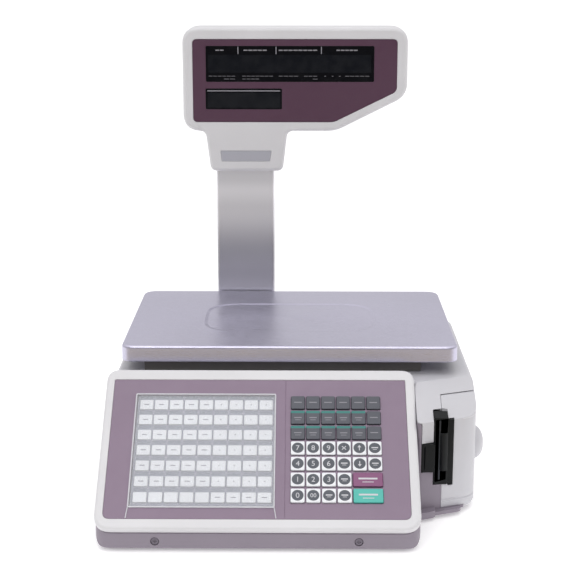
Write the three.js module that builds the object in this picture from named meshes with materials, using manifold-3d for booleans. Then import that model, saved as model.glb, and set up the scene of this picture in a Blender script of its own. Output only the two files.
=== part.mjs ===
// A counter-top label printing scale: a hollow two-part housing with a sloping keyboard console,
// a stainless platter on a load cell, a label printer behind a side door, and a display head on
// a pole. Millimetres, +Z up, front towards -Y. The origin is on the table, in the middle of the
// plan. Run with the npm packages three and manifold-3d.
import * as THREE from "three";
import { mergeVertices } from "three/addons/utils/BufferGeometryUtils.js";
import Module from "manifold-3d";

// ---- Driving dimensions --------------------------------------------------------------------
const GAP = 0.3; // between pieces that touch
const WALL = 3; // moulded housing wall

// Housing
const BASE_Z = 6;
const SKIRT_Z = 3.4; // lower edge of the console skirt
const SPLIT_Z = 54; // parting line between lower and upper housing
const TOP_Z = 139.3;
const LEFT_X = -207;
const RIGHT_X = 197.2;
const REAR_Y = 180;
const BACK_OF_CONSOLE_Y = -87;
const STEP_X = 129.2; // where the printer section starts, right of the console
const SWEEP = THREE.MathUtils.degToRad(22); // printer face, turned back to the right
const FACE_RIGHT_Y = -119.5; // printer face at the right-hand side
const SHOULDER_Z = 112; // the printer face leans back above this
const SHOULDER_SLOPE = Math.tan(THREE.MathUtils.degToRad(28));

// Console: a plate sloping at 40 degrees, drawn in its own plane with y up the slope
const CONSOLE_SLOPE = THREE.MathUtils.degToRad(40);
const CONSOLE_TOP = { y: -87, z: 152.3 };
const BEZEL = { x0: -211.5, x1: 128.8, length: 194.4, thickness: 8, ledge: 4 };
const FASCIA = { x0: -202.5, x1: 118.5, y0: -182.5, y1: -12.5, top: -0.5, bottom: -2.7 };
const SKIRT_Y = -231.5;

// Keyboards, in the console's plane
const HOTKEYS = { columns: 9, rows: 7, x: -165.3, y: -44.1, dx: 16.35, dy: -18.8, w: 14.6, h: 12 };
const KEYS = { columns: 6, rows: 7, x: 0.2, y: -42.4, dx: 16.45, dy: -18.85, w: 14.8, h: 16.2 };
const HOTKEY_WINDOW = { x0: -176, x1: -24.3, y0: -168.2, y1: -32 };
const KEY_TOP = 1.6;
const MAT_TOP = -4.6;
const MAT_BOTTOM = -5.6;

// Weighing platform
const PLATTER = { x0: -200, x1: 180.8, y0: -64, y1: 192, z0: 154.7, z1: 173, r: 14, sheet: 1.5 };
const SUPPORT = { x0: -175, x1: 140, y0: -49, y1: 177, z0: 140, z1: 155 };
const LOAD_CELL = { x0: -88, x1: 62, y0: 49, y1: 79, z0: 98.3, z1: 120 };

// Pole and display head
const POLE = { x0: -105.3, x1: -31.3, y0: 198, y1: 226, z0: 24, z1: 470, wall: 2.5 };
const HEAD = { front: 186, split: 209, back: 234, wall: 2.5 };

// Printer
const DOOR = { x0: 157.8, y1: 23, z0: 11.6, z1: 128.4, frontZ: 9.5, sideZ: 6.5 };
const HINGE = { x: 192.2, y: 18, pin: 2, knuckle: 3.7 };
const PLATEN = { x: 160.5, y: -113, r: 6, z0: 42, z1: 108, shaft: 2 };
const GEAR = { module: 0.75, z0: 34.2, z1: 39.2, platenTeeth: 24, pinionTeeth: 12 };
const ROLL = { x: 146, y: -34, r: 42, core: 13, z0: 46, z1: 106 };
const REWIND = { x: 92, y: -55 };
const HEAD_PIVOT = { x: 146, y: -92 };

// ---- Solid modelling helpers ---------------------------------------------------------------
const wasm = await Module();
wasm.setup();
const X = new THREE.Vector3(1, 0, 0);
const Y = new THREE.Vector3(0, 1, 0);
const Z = new THREE.Vector3(0, 0, 1);
const FAR = 600;

function solidOf(geometry, matrix = new THREE.Matrix4()) {
  const bare = new THREE.BufferGeometry();
  bare.setAttribute("position", geometry.getAttribute("position").clone());
  bare.setIndex(geometry.index);
  bare.applyMatrix4(matrix);
  const merged = mergeVertices(bare, 1e-4);
  return new wasm.Manifold(
    new wasm.Mesh({
      numProp: 3,
      vertProperties: merged.attributes.position.array,
      triVerts: new Uint32Array(merged.index.array),
    }),
  );
}

function geometryOf(solid) {
  const mesh = solid.getMesh();
  const geometry = new THREE.BufferGeometry();
  geometry.setAttribute("position", new THREE.BufferAttribute(mesh.vertProperties, 3));
  geometry.setIndex(new THREE.BufferAttribute(mesh.triVerts, 1));
  const faceted = geometry.toNonIndexed();
  faceted.computeVertexNormals();
  return faceted;
}

function box(x0, x1, y0, y1, z0, z1) {
  const geometry = new THREE.BoxGeometry(x1 - x0, y1 - y0, z1 - z0);
  geometry.translate((x0 + x1) / 2, (y0 + y1) / 2, (z0 + z1) / 2);
  return solidOf(geometry);
}

// A closed outline whose corners are rounded by their own radius: points are [a, b, radius].
function outline(points) {
  const shape = new THREE.Shape();
  points.forEach(([a, b, radius = 0], i) => {
    const before = points[(i + points.length - 1) % points.length];
    const after = points[(i + 1) % points.length];
    const corner = new THREE.Vector2(a, b);
    const start = new THREE.Vector2(before[0] - a, before[1] - b).setLength(radius).add(corner);
    const end = new THREE.Vector2(after[0] - a, after[1] - b).setLength(radius).add(corner);
    if (i === 0) shape.moveTo(start.x, start.y);
    else shape.lineTo(start.x, start.y);
    if (radius > 0) shape.quadraticCurveTo(a, b, end.x, end.y);
  });
  shape.closePath();
  return shape;
}

// The counter-clockwise outline moved inwards by a distance, corner radii shrinking with it.
function inset(points, distance) {
  return points.map(([a, b, radius = 0], i) => {
    const before = points[(i + points.length - 1) % points.length];
    const after = points[(i + 1) % points.length];
    const into = new THREE.Vector2(a - before[0], b - before[1]).normalize();
    const out = new THREE.Vector2(after[0] - a, after[1] - b).normalize();
    const turn = into.cross(out);
    const along = (distance * (1 - into.dot(out))) / turn;
    const shrink = turn > 0 ? -distance : distance;
    return [
      a - into.y * distance - into.x * along,
      b + into.x * distance - into.y * along,
      radius > 0 ? Math.max(radius + shrink, 0.5) : 0,
    ];
  });
}

function rectangle(x0, x1, y0, y1, r0 = 0, r1 = r0) {
  return [
    [x0, y0, r0],
    [x1, y0, r0],
    [x1, y1, r1],
    [x0, y1, r1],
  ];
}

// An outline extruded along Z. Its top rim is rounded by rings that step inwards.
function prism(points, z0, z1, edge = 0, curveSegments = 4) {
  const levels = [[0, z0], [0, z1 - edge]];
  for (let step = 1; edge > 0 && step <= 3; step += 1) {
    const turn = (step * Math.PI) / 6;
    levels.push([edge * (1 - Math.cos(turn)), z1 - edge + edge * Math.sin(turn)]);
  }
  const rings = levels.map(([distance]) => ringOf(inset(points, distance), curveSegments));
  const count = rings[0].length;
  const positions = rings.flatMap((ring, level) => ring.flatMap((p) => [p.x, p.y, levels[level][1]]));
  const index = [];
  for (let level = 0; level < rings.length - 1; level += 1)
    for (let i = 0; i < count; i += 1) {
      const a = level * count + i;
      const b = level * count + ((i + 1) % count);
      index.push(a, b, b + count, a, b + count, a + count);
    }
  const top = (rings.length - 1) * count;
  for (const [a, b, c] of THREE.ShapeUtils.triangulateShape(rings[0], [])) index.push(a, c, b);
  for (const [a, b, c] of THREE.ShapeUtils.triangulateShape(rings.at(-1), []))
    index.push(top + a, top + b, top + c);
  const geometry = new THREE.BufferGeometry();
  geometry.setAttribute("position", new THREE.Float32BufferAttribute(positions, 3));
  geometry.setIndex(index);
  return solidOf(geometry);
}

function ringOf(points, curveSegments) {
  const ring = outline(points).getPoints(curveSegments);
  if (ring[0].distanceTo(ring.at(-1)) < 1e-6) ring.pop();
  return ring;
}

// An outline of (y, z) points extruded along X.
function prismX(points, x0, x1, edge = 0) {
  return transformed(prism(points, x0, x1, edge), new THREE.Matrix4().makeBasis(Y, Z, X));
}

// An outline of (x, z) points extruded along Y, its rounded rim towards -Y.
function prismY(points, y0, y1, edge = 0) {
  const turn = new THREE.Matrix4().makeBasis(X, Z, Y.clone().negate());
  return transformed(prism(points, -y1, -y0, edge), turn);
}

function transformed(solid, matrix) {
  return solidOf(geometryOf(solid), matrix);
}

function rod(radius, x, y, z0, z1, segments = 16) {
  const geometry = new THREE.CylinderGeometry(radius, radius, z1 - z0, segments);
  geometry.rotateX(Math.PI / 2);
  geometry.translate(x, y, (z0 + z1) / 2);
  return solidOf(geometry);
}

function rodY(radius, x, z, y0, y1, segments = 16) {
  const geometry = new THREE.CylinderGeometry(radius, radius, y1 - y0, segments);
  geometry.translate(x, (y0 + y1) / 2, z);
  return solidOf(geometry);
}

// A solid of revolution about a vertical axis: profile is [radius, z] from axis to axis.
function turned(profile, x, y, segments = 24) {
  const points = profile.map(([r, z]) => new THREE.Vector2(r, z));
  const geometry = new THREE.LatheGeometry(points, segments);
  geometry.rotateX(Math.PI / 2);
  geometry.translate(x, y, 0);
  return solidOf(geometry);
}

function join(solids) {
  return solids.reduce((sum, next) => sum.add(next));
}

function cut(solid, tools) {
  return tools.reduce((rest, tool) => rest.subtract(tool), solid);
}

function finish(color, roughness, metalness = 0) {
  return new THREE.MeshStandardMaterial({ color, roughness, metalness });
}

const LIGHT_GREY = finish(0xc9c8cc, 0.5);
const WHITE = finish(0xe6e6ea, 0.45);
const MAUVE = finish(0x97869a, 0.5);
const DARK_MAUVE = finish(0x5c4052, 0.4);
const BLACK = finish(0x1c1c1f, 0.5);
const WINDOW = finish(0x17181d, 0.15);
const STEEL = finish(0xbcbac2, 0.3, 1);
const ALUMINIUM = finish(0xa8aaae, 0.45, 0.9);
const SHEET_STEEL = finish(0x8d9095, 0.5, 0.8);
const RUBBER = finish(0x2a2a2c, 0.85);
const DARK_KEY = finish(0x585a62, 0.6);
const WHITE_KEY = finish(0xeceef2, 0.55);
const MAGENTA_KEY = finish(0x873e70, 0.5);
const TEAL_KEY = finish(0x5fc8b6, 0.5);
const CARD = finish(0xa2a5af, 0.7);
const CLEAR = finish(0xe8ecf2, 0.1);
const PAPER = finish(0xf3f1ea, 0.9);
const POLE_PAINT = finish(0xa9a8ae, 0.35, 0.2);
const BOARD_GREEN = finish(0x2f6b45, 0.6);

const scale = new THREE.Group();
const consoleGroup = new THREE.Group();
consoleGroup.position.set(0, CONSOLE_TOP.y, CONSOLE_TOP.z);
consoleGroup.rotation.x = CONSOLE_SLOPE;
scale.add(consoleGroup);

function add(name, solid, material, group = scale) {
  const mesh = new THREE.Mesh(geometryOf(solid), material);
  mesh.name = name;
  group.add(mesh);
}

// ---- Housing -------------------------------------------------------------------------------
const STEP_FRONT_Y = FACE_RIGHT_Y - (RIGHT_X - STEP_X) * Math.tan(SWEEP);
const BODY_PLAN = [
  [LEFT_X, BACK_OF_CONSOLE_Y, 8],
  [STEP_X, BACK_OF_CONSOLE_Y],
  [STEP_X, STEP_FRONT_Y, 8],
  [RIGHT_X, FACE_RIGHT_Y, 18],
  [RIGHT_X, REAR_Y, 20],
  [LEFT_X, REAR_Y, 20],
];
const FOOT_PLACES = {
  foot_front_left: [-185, -205],
  foot_front_right: [100, -205],
  foot_rear_left: [-185, 155],
  foot_rear_right: [172, 155],
};
const SCREW_PLACES = { front_screw_left: -147.8, front_screw_right: 63.9 };
const SCREW_Z = 11.8;
const INLET = { x0: 120, x1: 148, z0: 17, z1: 41 };
const SWITCH = { x0: 92, x1: 106, z0: 20, z1: 44, y: 174, z: 32 };
const OUTLET_BLOCKS = [
  [148, 163.4, 38, 118.6],
  [162.5, 170, 37, 111.5],
  [134.5, 149, 54.6, 86.8],
];

// Everything above the leaning shoulder of the printer face, moved in by a distance.
function shoulderCut(distance) {
  const rise = distance / Math.cos(Math.atan(SHOULDER_SLOPE));
  const height = (y) => SHOULDER_Z + SHOULDER_SLOPE * y - rise;
  const wedge = prismX([[-30, height(-30)], [80, height(80)], [80, 220], [-30, 220]], -95, 30);
  const place = new THREE.Matrix4().makeRotationZ(SWEEP).setPosition(RIGHT_X, FACE_RIGHT_Y, 0);
  return transformed(wedge, place);
}

function bodyShell() {
  const outer = prism(BODY_PLAN, BASE_Z, TOP_Z, 5).subtract(shoulderCut(0));
  const inner = prism(inset(BODY_PLAN, WALL), BASE_Z + WALL, TOP_Z - WALL, 4);
  return outer.subtract(inner.subtract(shoulderCut(WALL)));
}

// The space the door closes, grown by a gap.
function doorSpace(gap) {
  const { x0, y1, z0, z1 } = DOOR;
  const swing = gap > 0 ? 1.8 : 0;
  const floor = prism(inset(BODY_PLAN, WALL + gap), -20, BASE_Z + WALL + 1);
  const space = join([
    box(x0 - gap, FAR, -FAR, y1 + swing, z0 - gap, z1 + gap),
    box(x0 - gap, FAR, -FAR, -90, DOOR.frontZ - gap, z0 + 1),
    box(184 - gap, FAR, -FAR, 8 + swing, gap > 0 ? -5 : DOOR.sideZ, z0 + 1).subtract(floor),
  ]);
  return space.subtract(box(x0 - gap - 1, RIGHT_X - 12, -80, FAR, -20, FAR));
}

function outletSpace(gap) {
  return join(
    OUTLET_BLOCKS.map(([x0, x1, z0, z1]) =>
      box(x0 - gap, x1 + gap, -165, -118, z0 - gap, z1 + gap),
    ),
  );
}

// Mauve strip that rises beside the console, up to the shoulder of the printer face.
const SIDE_STRIP = { x1: 134, z1: 110 };

function lowerRegion() {
  return join([
    box(-FAR, FAR, -FAR, FAR, 0, SPLIT_Z),
    box(STEP_X - 1, SIDE_STRIP.x1, -FAR, -125, 0, SIDE_STRIP.z1),
  ]);
}

function upperRegion() {
  const above = box(-FAR, FAR, -FAR, FAR, SPLIT_Z + GAP, FAR);
  return above.subtract(
    box(STEP_X - 1, SIDE_STRIP.x1 + GAP, -FAR, -125 + GAP, 0, SIDE_STRIP.z1 + GAP),
  );
}

// Height of the console's underside at a depth y, a distance below its top plane.
function underConsole(y, below) {
  const top = CONSOLE_TOP.z + (y - CONSOLE_TOP.y) * Math.tan(CONSOLE_SLOPE);
  return top - below / Math.cos(CONSOLE_SLOPE);
}

function consoleWedge(distance) {
  const below = BEZEL.thickness + GAP;
  const front = SKIRT_Y + distance;
  const back = BACK_OF_CONSOLE_Y + (distance > 0 ? WALL + 8 : 2);
  const height = distance > 0 ? 40 : 0;
  const bottom = distance > 0 ? BASE_Z + distance : SKIRT_Z;
  const side = [
    [front, bottom],
    [back, bottom],
    [back, underConsole(back, below) + height],
    [front, underConsole(front, below) + height],
  ];
  const [x0, x1] = [BEZEL.x0 + 0.5, BEZEL.x1 - 0.2];
  const seenFromFront = [
    [x0 + distance, bottom, 14 - distance],
    [x1 - distance, bottom, 14 - distance],
    [x1 - distance, 300],
    [x0 + distance, 300],
  ];
  return prismX(side, -FAR, FAR)
    .intersect(prism(inset(rectangle(x0, x1, SKIRT_Y, 0, 19, 0.5), distance), -10, 300))
    .intersect(prismY(seenFromFront, -300, 0));
}

// Low plinth of the base in front of the printer face and its door.
function plinth() {
  const step = (x0, x1, forward, z0, z1) => {
    const face = (x) => FACE_RIGHT_Y - (RIGHT_X - x) * Math.tan(SWEEP) - forward;
    const depth = forward + 2;
    const points = [
      [x0, face(x0)],
      [x1, face(x1), 6],
      [x1, face(x1) + depth],
      [x0, face(x0) + depth],
    ];
    return prism(points, z0, z1);
  };
  return join([step(STEP_X, 151, 12, 4.2, 12), step(149, 180.5, 8, 5, 9)]);
}

function lowerHousing() {
  const pan = bodyShell().subtract(doorSpace(GAP)).intersect(lowerRegion());
  const floorOpening = inset(BODY_PLAN, WALL);
  const wedge = cut(consoleWedge(0), [
    consoleWedge(WALL),
    prism(floorOpening, BASE_Z + WALL, FAR),
    box(-FAR, FAR, BACK_OF_CONSOLE_Y - GAP, FAR, SPLIT_Z, FAR),
  ]);
  const link = box(LEFT_X + 6, STEP_X - 6, -95, -80, BASE_Z + WALL, SPLIT_Z + 1);
  const bosses = Object.values(FOOT_PLACES).map(([x, y]) => rod(8, x, y, BASE_Z, 20));
  const screwBosses = Object.values(SCREW_PLACES).map((x) =>
    rodY(7, x, SCREW_Z, SKIRT_Y + 1, SKIRT_Y + 10),
  );
  const pinBoss = rod(5, HINGE.x - 2, HINGE.y + 1, BASE_Z, DOOR.z0 - 1);
  const whole = join([
    pan.subtract(link),
    wedge,
    plinth(),
    ...bosses,
    ...screwBosses.map((boss) => boss.subtract(box(-FAR, FAR, -FAR, FAR, -5, BASE_Z))),
    pinBoss,
  ]);
  return cut(whole, [
    ...Object.values(FOOT_PLACES).map(([x, y]) => rod(4 + GAP, x, y, 0, 30)),
    ...Object.values(FOOT_PLACES).map(([x, y]) => rod(14.8, x, y, -1, 4.5)),
    ...Object.values(SCREW_PLACES).map((x) => rodY(4.6, x, SCREW_Z, -240, SKIRT_Y + 3.4)),
    ...Object.values(SCREW_PLACES).map((x) => rodY(2.2, x, SCREW_Z, -240, -210)),
    rod(HINGE.pin + GAP, HINGE.x, HINGE.y, BASE_Z + WALL, 20),
    outletSpace(0.4),
    box(INLET.x0 - GAP, INLET.x1 + GAP, REAR_Y - 10, REAR_Y + 5, INLET.z0 - GAP, INLET.z1 + GAP),
    box(SWITCH.x0, SWITCH.x1, REAR_Y - 10, REAR_Y + 5, SWITCH.z0, SWITCH.z1),
  ]);
}

function upperHousing() {
  const shell = bodyShell().subtract(doorSpace(GAP)).intersect(upperRegion());
  const ridge = prismX(
    [
      [BACK_OF_CONSOLE_Y, TOP_Z - 2],
      [-70, TOP_Z - 2],
      [-77, underConsole(-80, 8.6)],
      [-80, underConsole(-80, 8.6)],
      [BACK_OF_CONSOLE_Y, underConsole(BACK_OF_CONSOLE_Y, 8.6)],
    ],
    LEFT_X + 2,
    BEZEL.x1 - 3,
  );
  const pinBoss = rod(5, HINGE.x - 2, HINGE.y, DOOR.z1 + 0.8, TOP_Z - WALL + 0.5);
  return cut(join([shell, ridge, pinBoss]), [
    rod(HINGE.pin + GAP, HINGE.x, HINGE.y, 100, TOP_Z - WALL - 1),
    outletSpace(0.4),
    box(12, 68, 40, 88, TOP_Z - 10, TOP_Z + 5),
  ]);
}

function foot(x, y) {
  return turned([[0, 0], [13, 0], [14, 1], [14, 3], [13, 4], [4, 4], [4, 22], [0, 22]], x, y, 14);
}

function frontScrew(x) {
  const head = rodY(4.2, x, SCREW_Z, SKIRT_Y + 0.7, SKIRT_Y + 3);
  const shank = rodY(1.9, x, SCREW_Z, SKIRT_Y + 2, SKIRT_Y + 16, 10);
  const recess = box(x - 2.2, x + 2.2, -240, SKIRT_Y + 1.7, SCREW_Z - 0.5, SCREW_Z + 0.5);
  const across = box(x - 0.5, x + 0.5, -240, SKIRT_Y + 1.7, SCREW_Z - 2.2, SCREW_Z + 2.2);
  return cut(head.add(shank), [recess, across]);
}

add("lower_housing", lowerHousing(), MAUVE);
add("upper_housing", upperHousing(), LIGHT_GREY);
for (const [name, [x, y]] of Object.entries(FOOT_PLACES)) add(name, foot(x, y), RUBBER);
for (const [name, x] of Object.entries(SCREW_PLACES)) add(name, frontScrew(x), DARK_MAUVE);

// ---- Console and keyboards -----------------------------------------------------------------
function keyPlace(grid, column, row) {
  return { x: grid.x + grid.dx * column, y: grid.y + grid.dy * row };
}

function keyBox(grid, column, row, z0, z1, grow = 0, columnsWide = 1) {
  const { x, y } = keyPlace(grid, column, row);
  const right = x + grid.dx * (columnsWide - 1);
  const w = grid.w / 2 + grow;
  const h = grid.h / 2 + grow;
  return box(x - w, right + w, y - h, y + h, z0, z1);
}

// The keys that have their own moving node: name, column, row, columns wide, material.
const MOVING_KEYS = [
  ["key_7", 0, 3, 1, WHITE_KEY],
  ["key_8", 1, 3, 1, WHITE_KEY],
  ["key_9", 2, 3, 1, WHITE_KEY],
  ["key_4", 0, 4, 1, WHITE_KEY],
  ["key_5", 1, 4, 1, WHITE_KEY],
  ["key_6", 2, 4, 1, WHITE_KEY],
  ["key_1", 0, 5, 1, WHITE_KEY],
  ["key_2", 1, 5, 1, WHITE_KEY],
  ["key_3", 2, 5, 1, WHITE_KEY],
  ["key_0", 0, 6, 1, WHITE_KEY],
  ["key_print", 4, 5, 2, MAGENTA_KEY],
  ["key_confirm", 4, 6, 2, TEAL_KEY],
];

function keyIsMoving(column, row) {
  return MOVING_KEYS.some(([, c, r, wide]) => r === row && column >= c && column < c + wide);
}

function gridCells(grid) {
  const cells = [];
  for (let row = 0; row < grid.rows; row += 1)
    for (let column = 0; column < grid.columns; column += 1) cells.push([column, row]);
  return cells;
}

function consoleBezel() {
  const rim = rectangle(BEZEL.x0, BEZEL.x1, -BEZEL.length, 1.3, 19, 15);
  const plate = prism(rim, -BEZEL.thickness, 0, 3);
  const seat = rectangle(FASCIA.x0, FASCIA.x1, FASCIA.y0, FASCIA.y1, 8, 1.5);
  return cut(plate, [
    prism(seat, FASCIA.bottom - GAP, 5),
    prism(inset(seat, BEZEL.ledge), -20, 5, 0, 2),
  ]);
}

function keyboardFascia() {
  const edge = rectangle(FASCIA.x0, FASCIA.x1, FASCIA.y0, FASCIA.y1, 8, 1.5);
  const plate = prism(inset(edge, GAP), FASCIA.bottom, FASCIA.top);
  const { x0, x1, y0, y1 } = HOTKEY_WINDOW;
  const holes = gridCells(KEYS)
    .filter(([column, row]) => !keyIsMoving(column, row))
    .map(([column, row]) => keyBox(KEYS, column, row, -5, 5, GAP));
  const movingHoles = MOVING_KEYS.map(([, c, r, wide]) => keyBox(KEYS, c, r, -5, 5, GAP, wide));
  return cut(plate, [box(x0, x1, y0, y1, -5, 5), ...holes, ...movingHoles]);
}

function keyMat(grid, cells, top, margin) {
  const last = keyPlace(grid, grid.columns - 1, grid.rows - 1);
  const side = grid.w / 2 + margin;
  const end = grid.h / 2 + margin;
  const sheet = box(grid.x - side, last.x + side, last.y - end, grid.y + end, MAT_BOTTOM, MAT_TOP);
  return join([sheet, ...cells.map(([c, r]) => keyBox(grid, c, r, MAT_BOTTOM, top))]);
}

function hotkeyLabelCard() {
  const { x0, x1, y0, y1 } = HOTKEY_WINDOW;
  const card = box(x0 + 1, x1 - 1, y0 + 1, y1 - 1, MAT_TOP + GAP, MAT_TOP + 0.8);
  const rows = Array.from({ length: HOTKEYS.rows }, (_, row) => row);
  return cut(card, rows.map((row) => keyBox(HOTKEYS, 0, row, -9, 5, GAP, HOTKEYS.columns)));
}

add("console_bezel", consoleBezel(), WHITE, consoleGroup);
add("keyboard_fascia", keyboardFascia(), MAUVE, consoleGroup);
add("hotkey_mat", keyMat(HOTKEYS, gridCells(HOTKEYS), -1.2, 3), WHITE_KEY, consoleGroup);
add("hotkey_label_card", hotkeyLabelCard(), CARD, consoleGroup);
add(
  "hotkey_cover",
  prism(rectangle(-177, -24.6, -181.8, -31.2, 1.5), FASCIA.top + GAP, 0.6, 0, 2),
  CLEAR,
  consoleGroup,
);
add(
  "function_key_mat",
  keyMat(KEYS, gridCells(KEYS).filter(([c, r]) => !keyIsMoving(c, r)), KEY_TOP, 1.5),
  DARK_KEY,
  consoleGroup,
);
for (const [name, column, row, wide, material] of MOVING_KEYS) {
  const first = keyPlace(KEYS, column, row);
  const right = first.x + KEYS.dx * (wide - 1) + KEYS.w / 2;
  const halfHeight = KEYS.h / 2;
  const cap = rectangle(first.x - KEYS.w / 2, right, first.y - halfHeight, first.y + halfHeight, 1.2);
  add(name, prism(cap, -3.2, KEY_TOP, 0, 2), material, consoleGroup);
}

// ---- Weighing platform ---------------------------------------------------------------------
function platter() {
  const { x0, x1, y0, y1, z0, z1, r, sheet } = PLATTER;
  const rim = rectangle(x0, x1, y0, y1, r);
  const hollow = prism(inset(rim, sheet), z0 - 1, z1 - sheet);
  return prism(rim, z0, z1, 3).subtract(hollow);
}

function platterSupport() {
  const { x0, x1, y0, y1, z0, z1 } = SUPPORT;
  const plate = box(x0, x1, y0, y1, z1 - 6, z1);
  const aprons = [box(x0, x1, y0, y0 + 3, z0, z1), box(x0, x1, y1 - 3, y1, z0, z1)];
  const hub = box(22, 58, LOAD_CELL.y0, LOAD_CELL.y1, LOAD_CELL.z1 + GAP, z1);
  const seatTop = PLATTER.z1 - PLATTER.sheet - GAP;
  const seats = [];
  for (const x of [x0 + 20, x1 - 20])
    for (const y of [y0 + 20, y1 - 20]) seats.push(rod(8, x, y, z1 - 3, seatTop, 12));
  return join([plate, ...aprons, hub, ...seats]);
}

function loadCell() {
  const { x0, x1, y0, y1, z0, z1 } = LOAD_CELL;
  const middle = (x0 + x1) / 2;
  const height = (z0 + z1) / 2;
  const eyes = [-14, 14].map((dx) => rodY(8, middle + dx, height, y0 - 1, y1 + 1, 20));
  const slot = box(middle - 14, middle + 14, y0 - 1, y1 + 1, height - 2, height + 2);
  return cut(box(x0, x1, y0, y1, z0, z1), [...eyes, slot]);
}

function baseFrame() {
  const floor = BASE_Z + WALL + 0.4;
  return join([
    box(-150, 150, -70, 120, floor, floor + 3),
    box(66, 120, -80, 61, floor, floor + 3),
    box(118, 184, -80, 61, floor, floor + 3),
    box(134, 184, -110, -70, floor, floor + 3),
    box(66, 68, -80, 61, floor, TOP_Z - 4),
    box(66, 186, 59, 61, floor, TOP_Z - 4),
  ]);
}
const DECK_Z = BASE_Z + WALL + 0.4 + 3 + GAP; // what stands on the chassis starts here

add("platter", platter(), STEEL);
add("platter_support", platterSupport(), SHEET_STEEL);
add("load_cell", loadCell(), ALUMINIUM);
add("load_cell_base", box(-88, -52, 46, 82, DECK_Z, LOAD_CELL.z0 - GAP), ALUMINIUM);
add("base_frame", baseFrame(), SHEET_STEEL);

// ---- Pole and display head -----------------------------------------------------------------
const HEAD_SHAPE = [
  [-145.6, 382, 22],
  [-118, 382, 8],
  [-111.5, 331, 8],
  [-20.2, 331, 8],
  [-14.3, 382, 8],
  [46.5, 382, 10],
  [136, 426.5, 16],
  [136, 511.3, 21],
  [-145.6, 511.3, 21],
];
const FASCIA_SHAPE = [
  [-133.1, 393.4, 6],
  [44.3, 393.4, 5],
  [122.9, 432, 6],
  [122.9, 497, 6],
  [-133.1, 497, 6],
];
const MAIN_WINDOW = [-116.4, 94, 444, 488.5];
const SUB_WINDOW = [-117.1, -21.2, 409.7, 435.8];
const LABEL_PLATE = [
  [-97.5, 343.6, 1],
  [-36.5, 343.6, 1],
  [-34.5, 357.3, 1],
  [-99.2, 357.3, 1],
];

function pole() {
  const { x0, x1, y0, y1, z0, z1, wall } = POLE;
  const section = rectangle(x0, x1, y0, y1, 4);
  return prism(section, z0, z1).subtract(prism(inset(section, wall), z0 - 1, z1 + 1));
}

function poleBracket() {
  const { x0, x1, y0, y1, z0 } = POLE;
  const block = prism(rectangle(x0 - 13, x1 + 13, REAR_Y + 0.4, y1 + 6, 5), BASE_Z + 2, 70, 2);
  const socket = rectangle(x0 - GAP, x1 + GAP, y0 - GAP, y1 + GAP, 3.5);
  return block.subtract(prism(socket, z0 - GAP, 100));
}

function poleHole() {
  const { x0, x1, y0, y1 } = POLE;
  return box(x0 - 0.6, x1 + 0.6, y0 - 0.6, y1 + 0.6, 300, 360);
}

function windowBox([x0, x1, z0, z1], y0, y1, grow = 0) {
  return prismY(rectangle(x0 - grow, x1 + grow, z0 - grow, z1 + grow, 1.8), y0, y1);
}

function headFrontHousing() {
  const shell = prismY(HEAD_SHAPE, HEAD.front, HEAD.split, 5).subtract(
    prismY(inset(HEAD_SHAPE, HEAD.wall), HEAD.front + HEAD.wall, HEAD.split + 20),
  );
  return cut(shell, [
    prismY(FASCIA_SHAPE, HEAD.front - 5, HEAD.front + 1.5),
    windowBox(MAIN_WINDOW, 150, HEAD.front + 10, 0.1),
    windowBox(SUB_WINDOW, 150, HEAD.front + 10, 0.1),
    prismY(LABEL_PLATE, HEAD.front - 5, HEAD.front + 1.2),
    poleHole(),
  ]);
}

function headRearCover() {
  const seenFromBehind = HEAD_SHAPE.map(([x, z, r]) => [-x, z, r]).reverse();
  const shell = prismY(seenFromBehind, -HEAD.back, -HEAD.split - GAP, 5);
  const turnedRound = transformed(shell, new THREE.Matrix4().makeRotationZ(Math.PI));
  const hollow = prismY(inset(HEAD_SHAPE, HEAD.wall), HEAD.split - 20, HEAD.back - HEAD.wall);
  return cut(turnedRound, [
    hollow,
    prismY(FASCIA_SHAPE, HEAD.back - 1.5, HEAD.back + 5),
    poleHole(),
  ]);
}

function headFascia(y0, y1, windows) {
  const panel = prismY(inset(FASCIA_SHAPE, GAP), y0, y1);
  return cut(panel, windows.map((window) => windowBox(window, y0 - 5, y1 + 5)));
}

function displayBoard() {
  const y = HEAD.front + HEAD.wall + 1;
  return join([
    windowBox([-112, 90, 447, 486], y, y + 3.4),
    windowBox([-112, -26, 413, 433], y, y + 3.4),
    windowBox([-120, 100, 438, 492], y + 3, y + 4.6),
    windowBox([-120, 50, 404, 440], y + 3, y + 4.6),
  ]);
}

add("pole", pole(), POLE_PAINT);
add("pole_bracket", poleBracket(), LIGHT_GREY);
add("head_front_housing", headFrontHousing(), WHITE);
add("head_rear_cover", headRearCover(), WHITE);
add(
  "head_fascia",
  headFascia(HEAD.front + 0.3, HEAD.front + 1.2, [MAIN_WINDOW, SUB_WINDOW]),
  DARK_MAUVE,
);
add("main_display_window", windowBox(MAIN_WINDOW, HEAD.front + 0.4, HEAD.front + 2.2, -GAP), WINDOW);
add("sub_display_window", windowBox(SUB_WINDOW, HEAD.front + 0.4, HEAD.front + 2.2, -GAP), WINDOW);
add("display_circuit_board", displayBoard(), BOARD_GREEN);
add("head_label_plate", prismY(inset(LABEL_PLATE, GAP), HEAD.front + 0.3, HEAD.front + 0.9), CARD);
add("rear_fascia", headFascia(HEAD.back - 1.2, HEAD.back - 0.3, [MAIN_WINDOW]), DARK_MAUVE);
add(
  "rear_display_window",
  windowBox(MAIN_WINDOW, HEAD.back - 1.2, HEAD.back - 0.4, -GAP),
  WINDOW,
);

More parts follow.
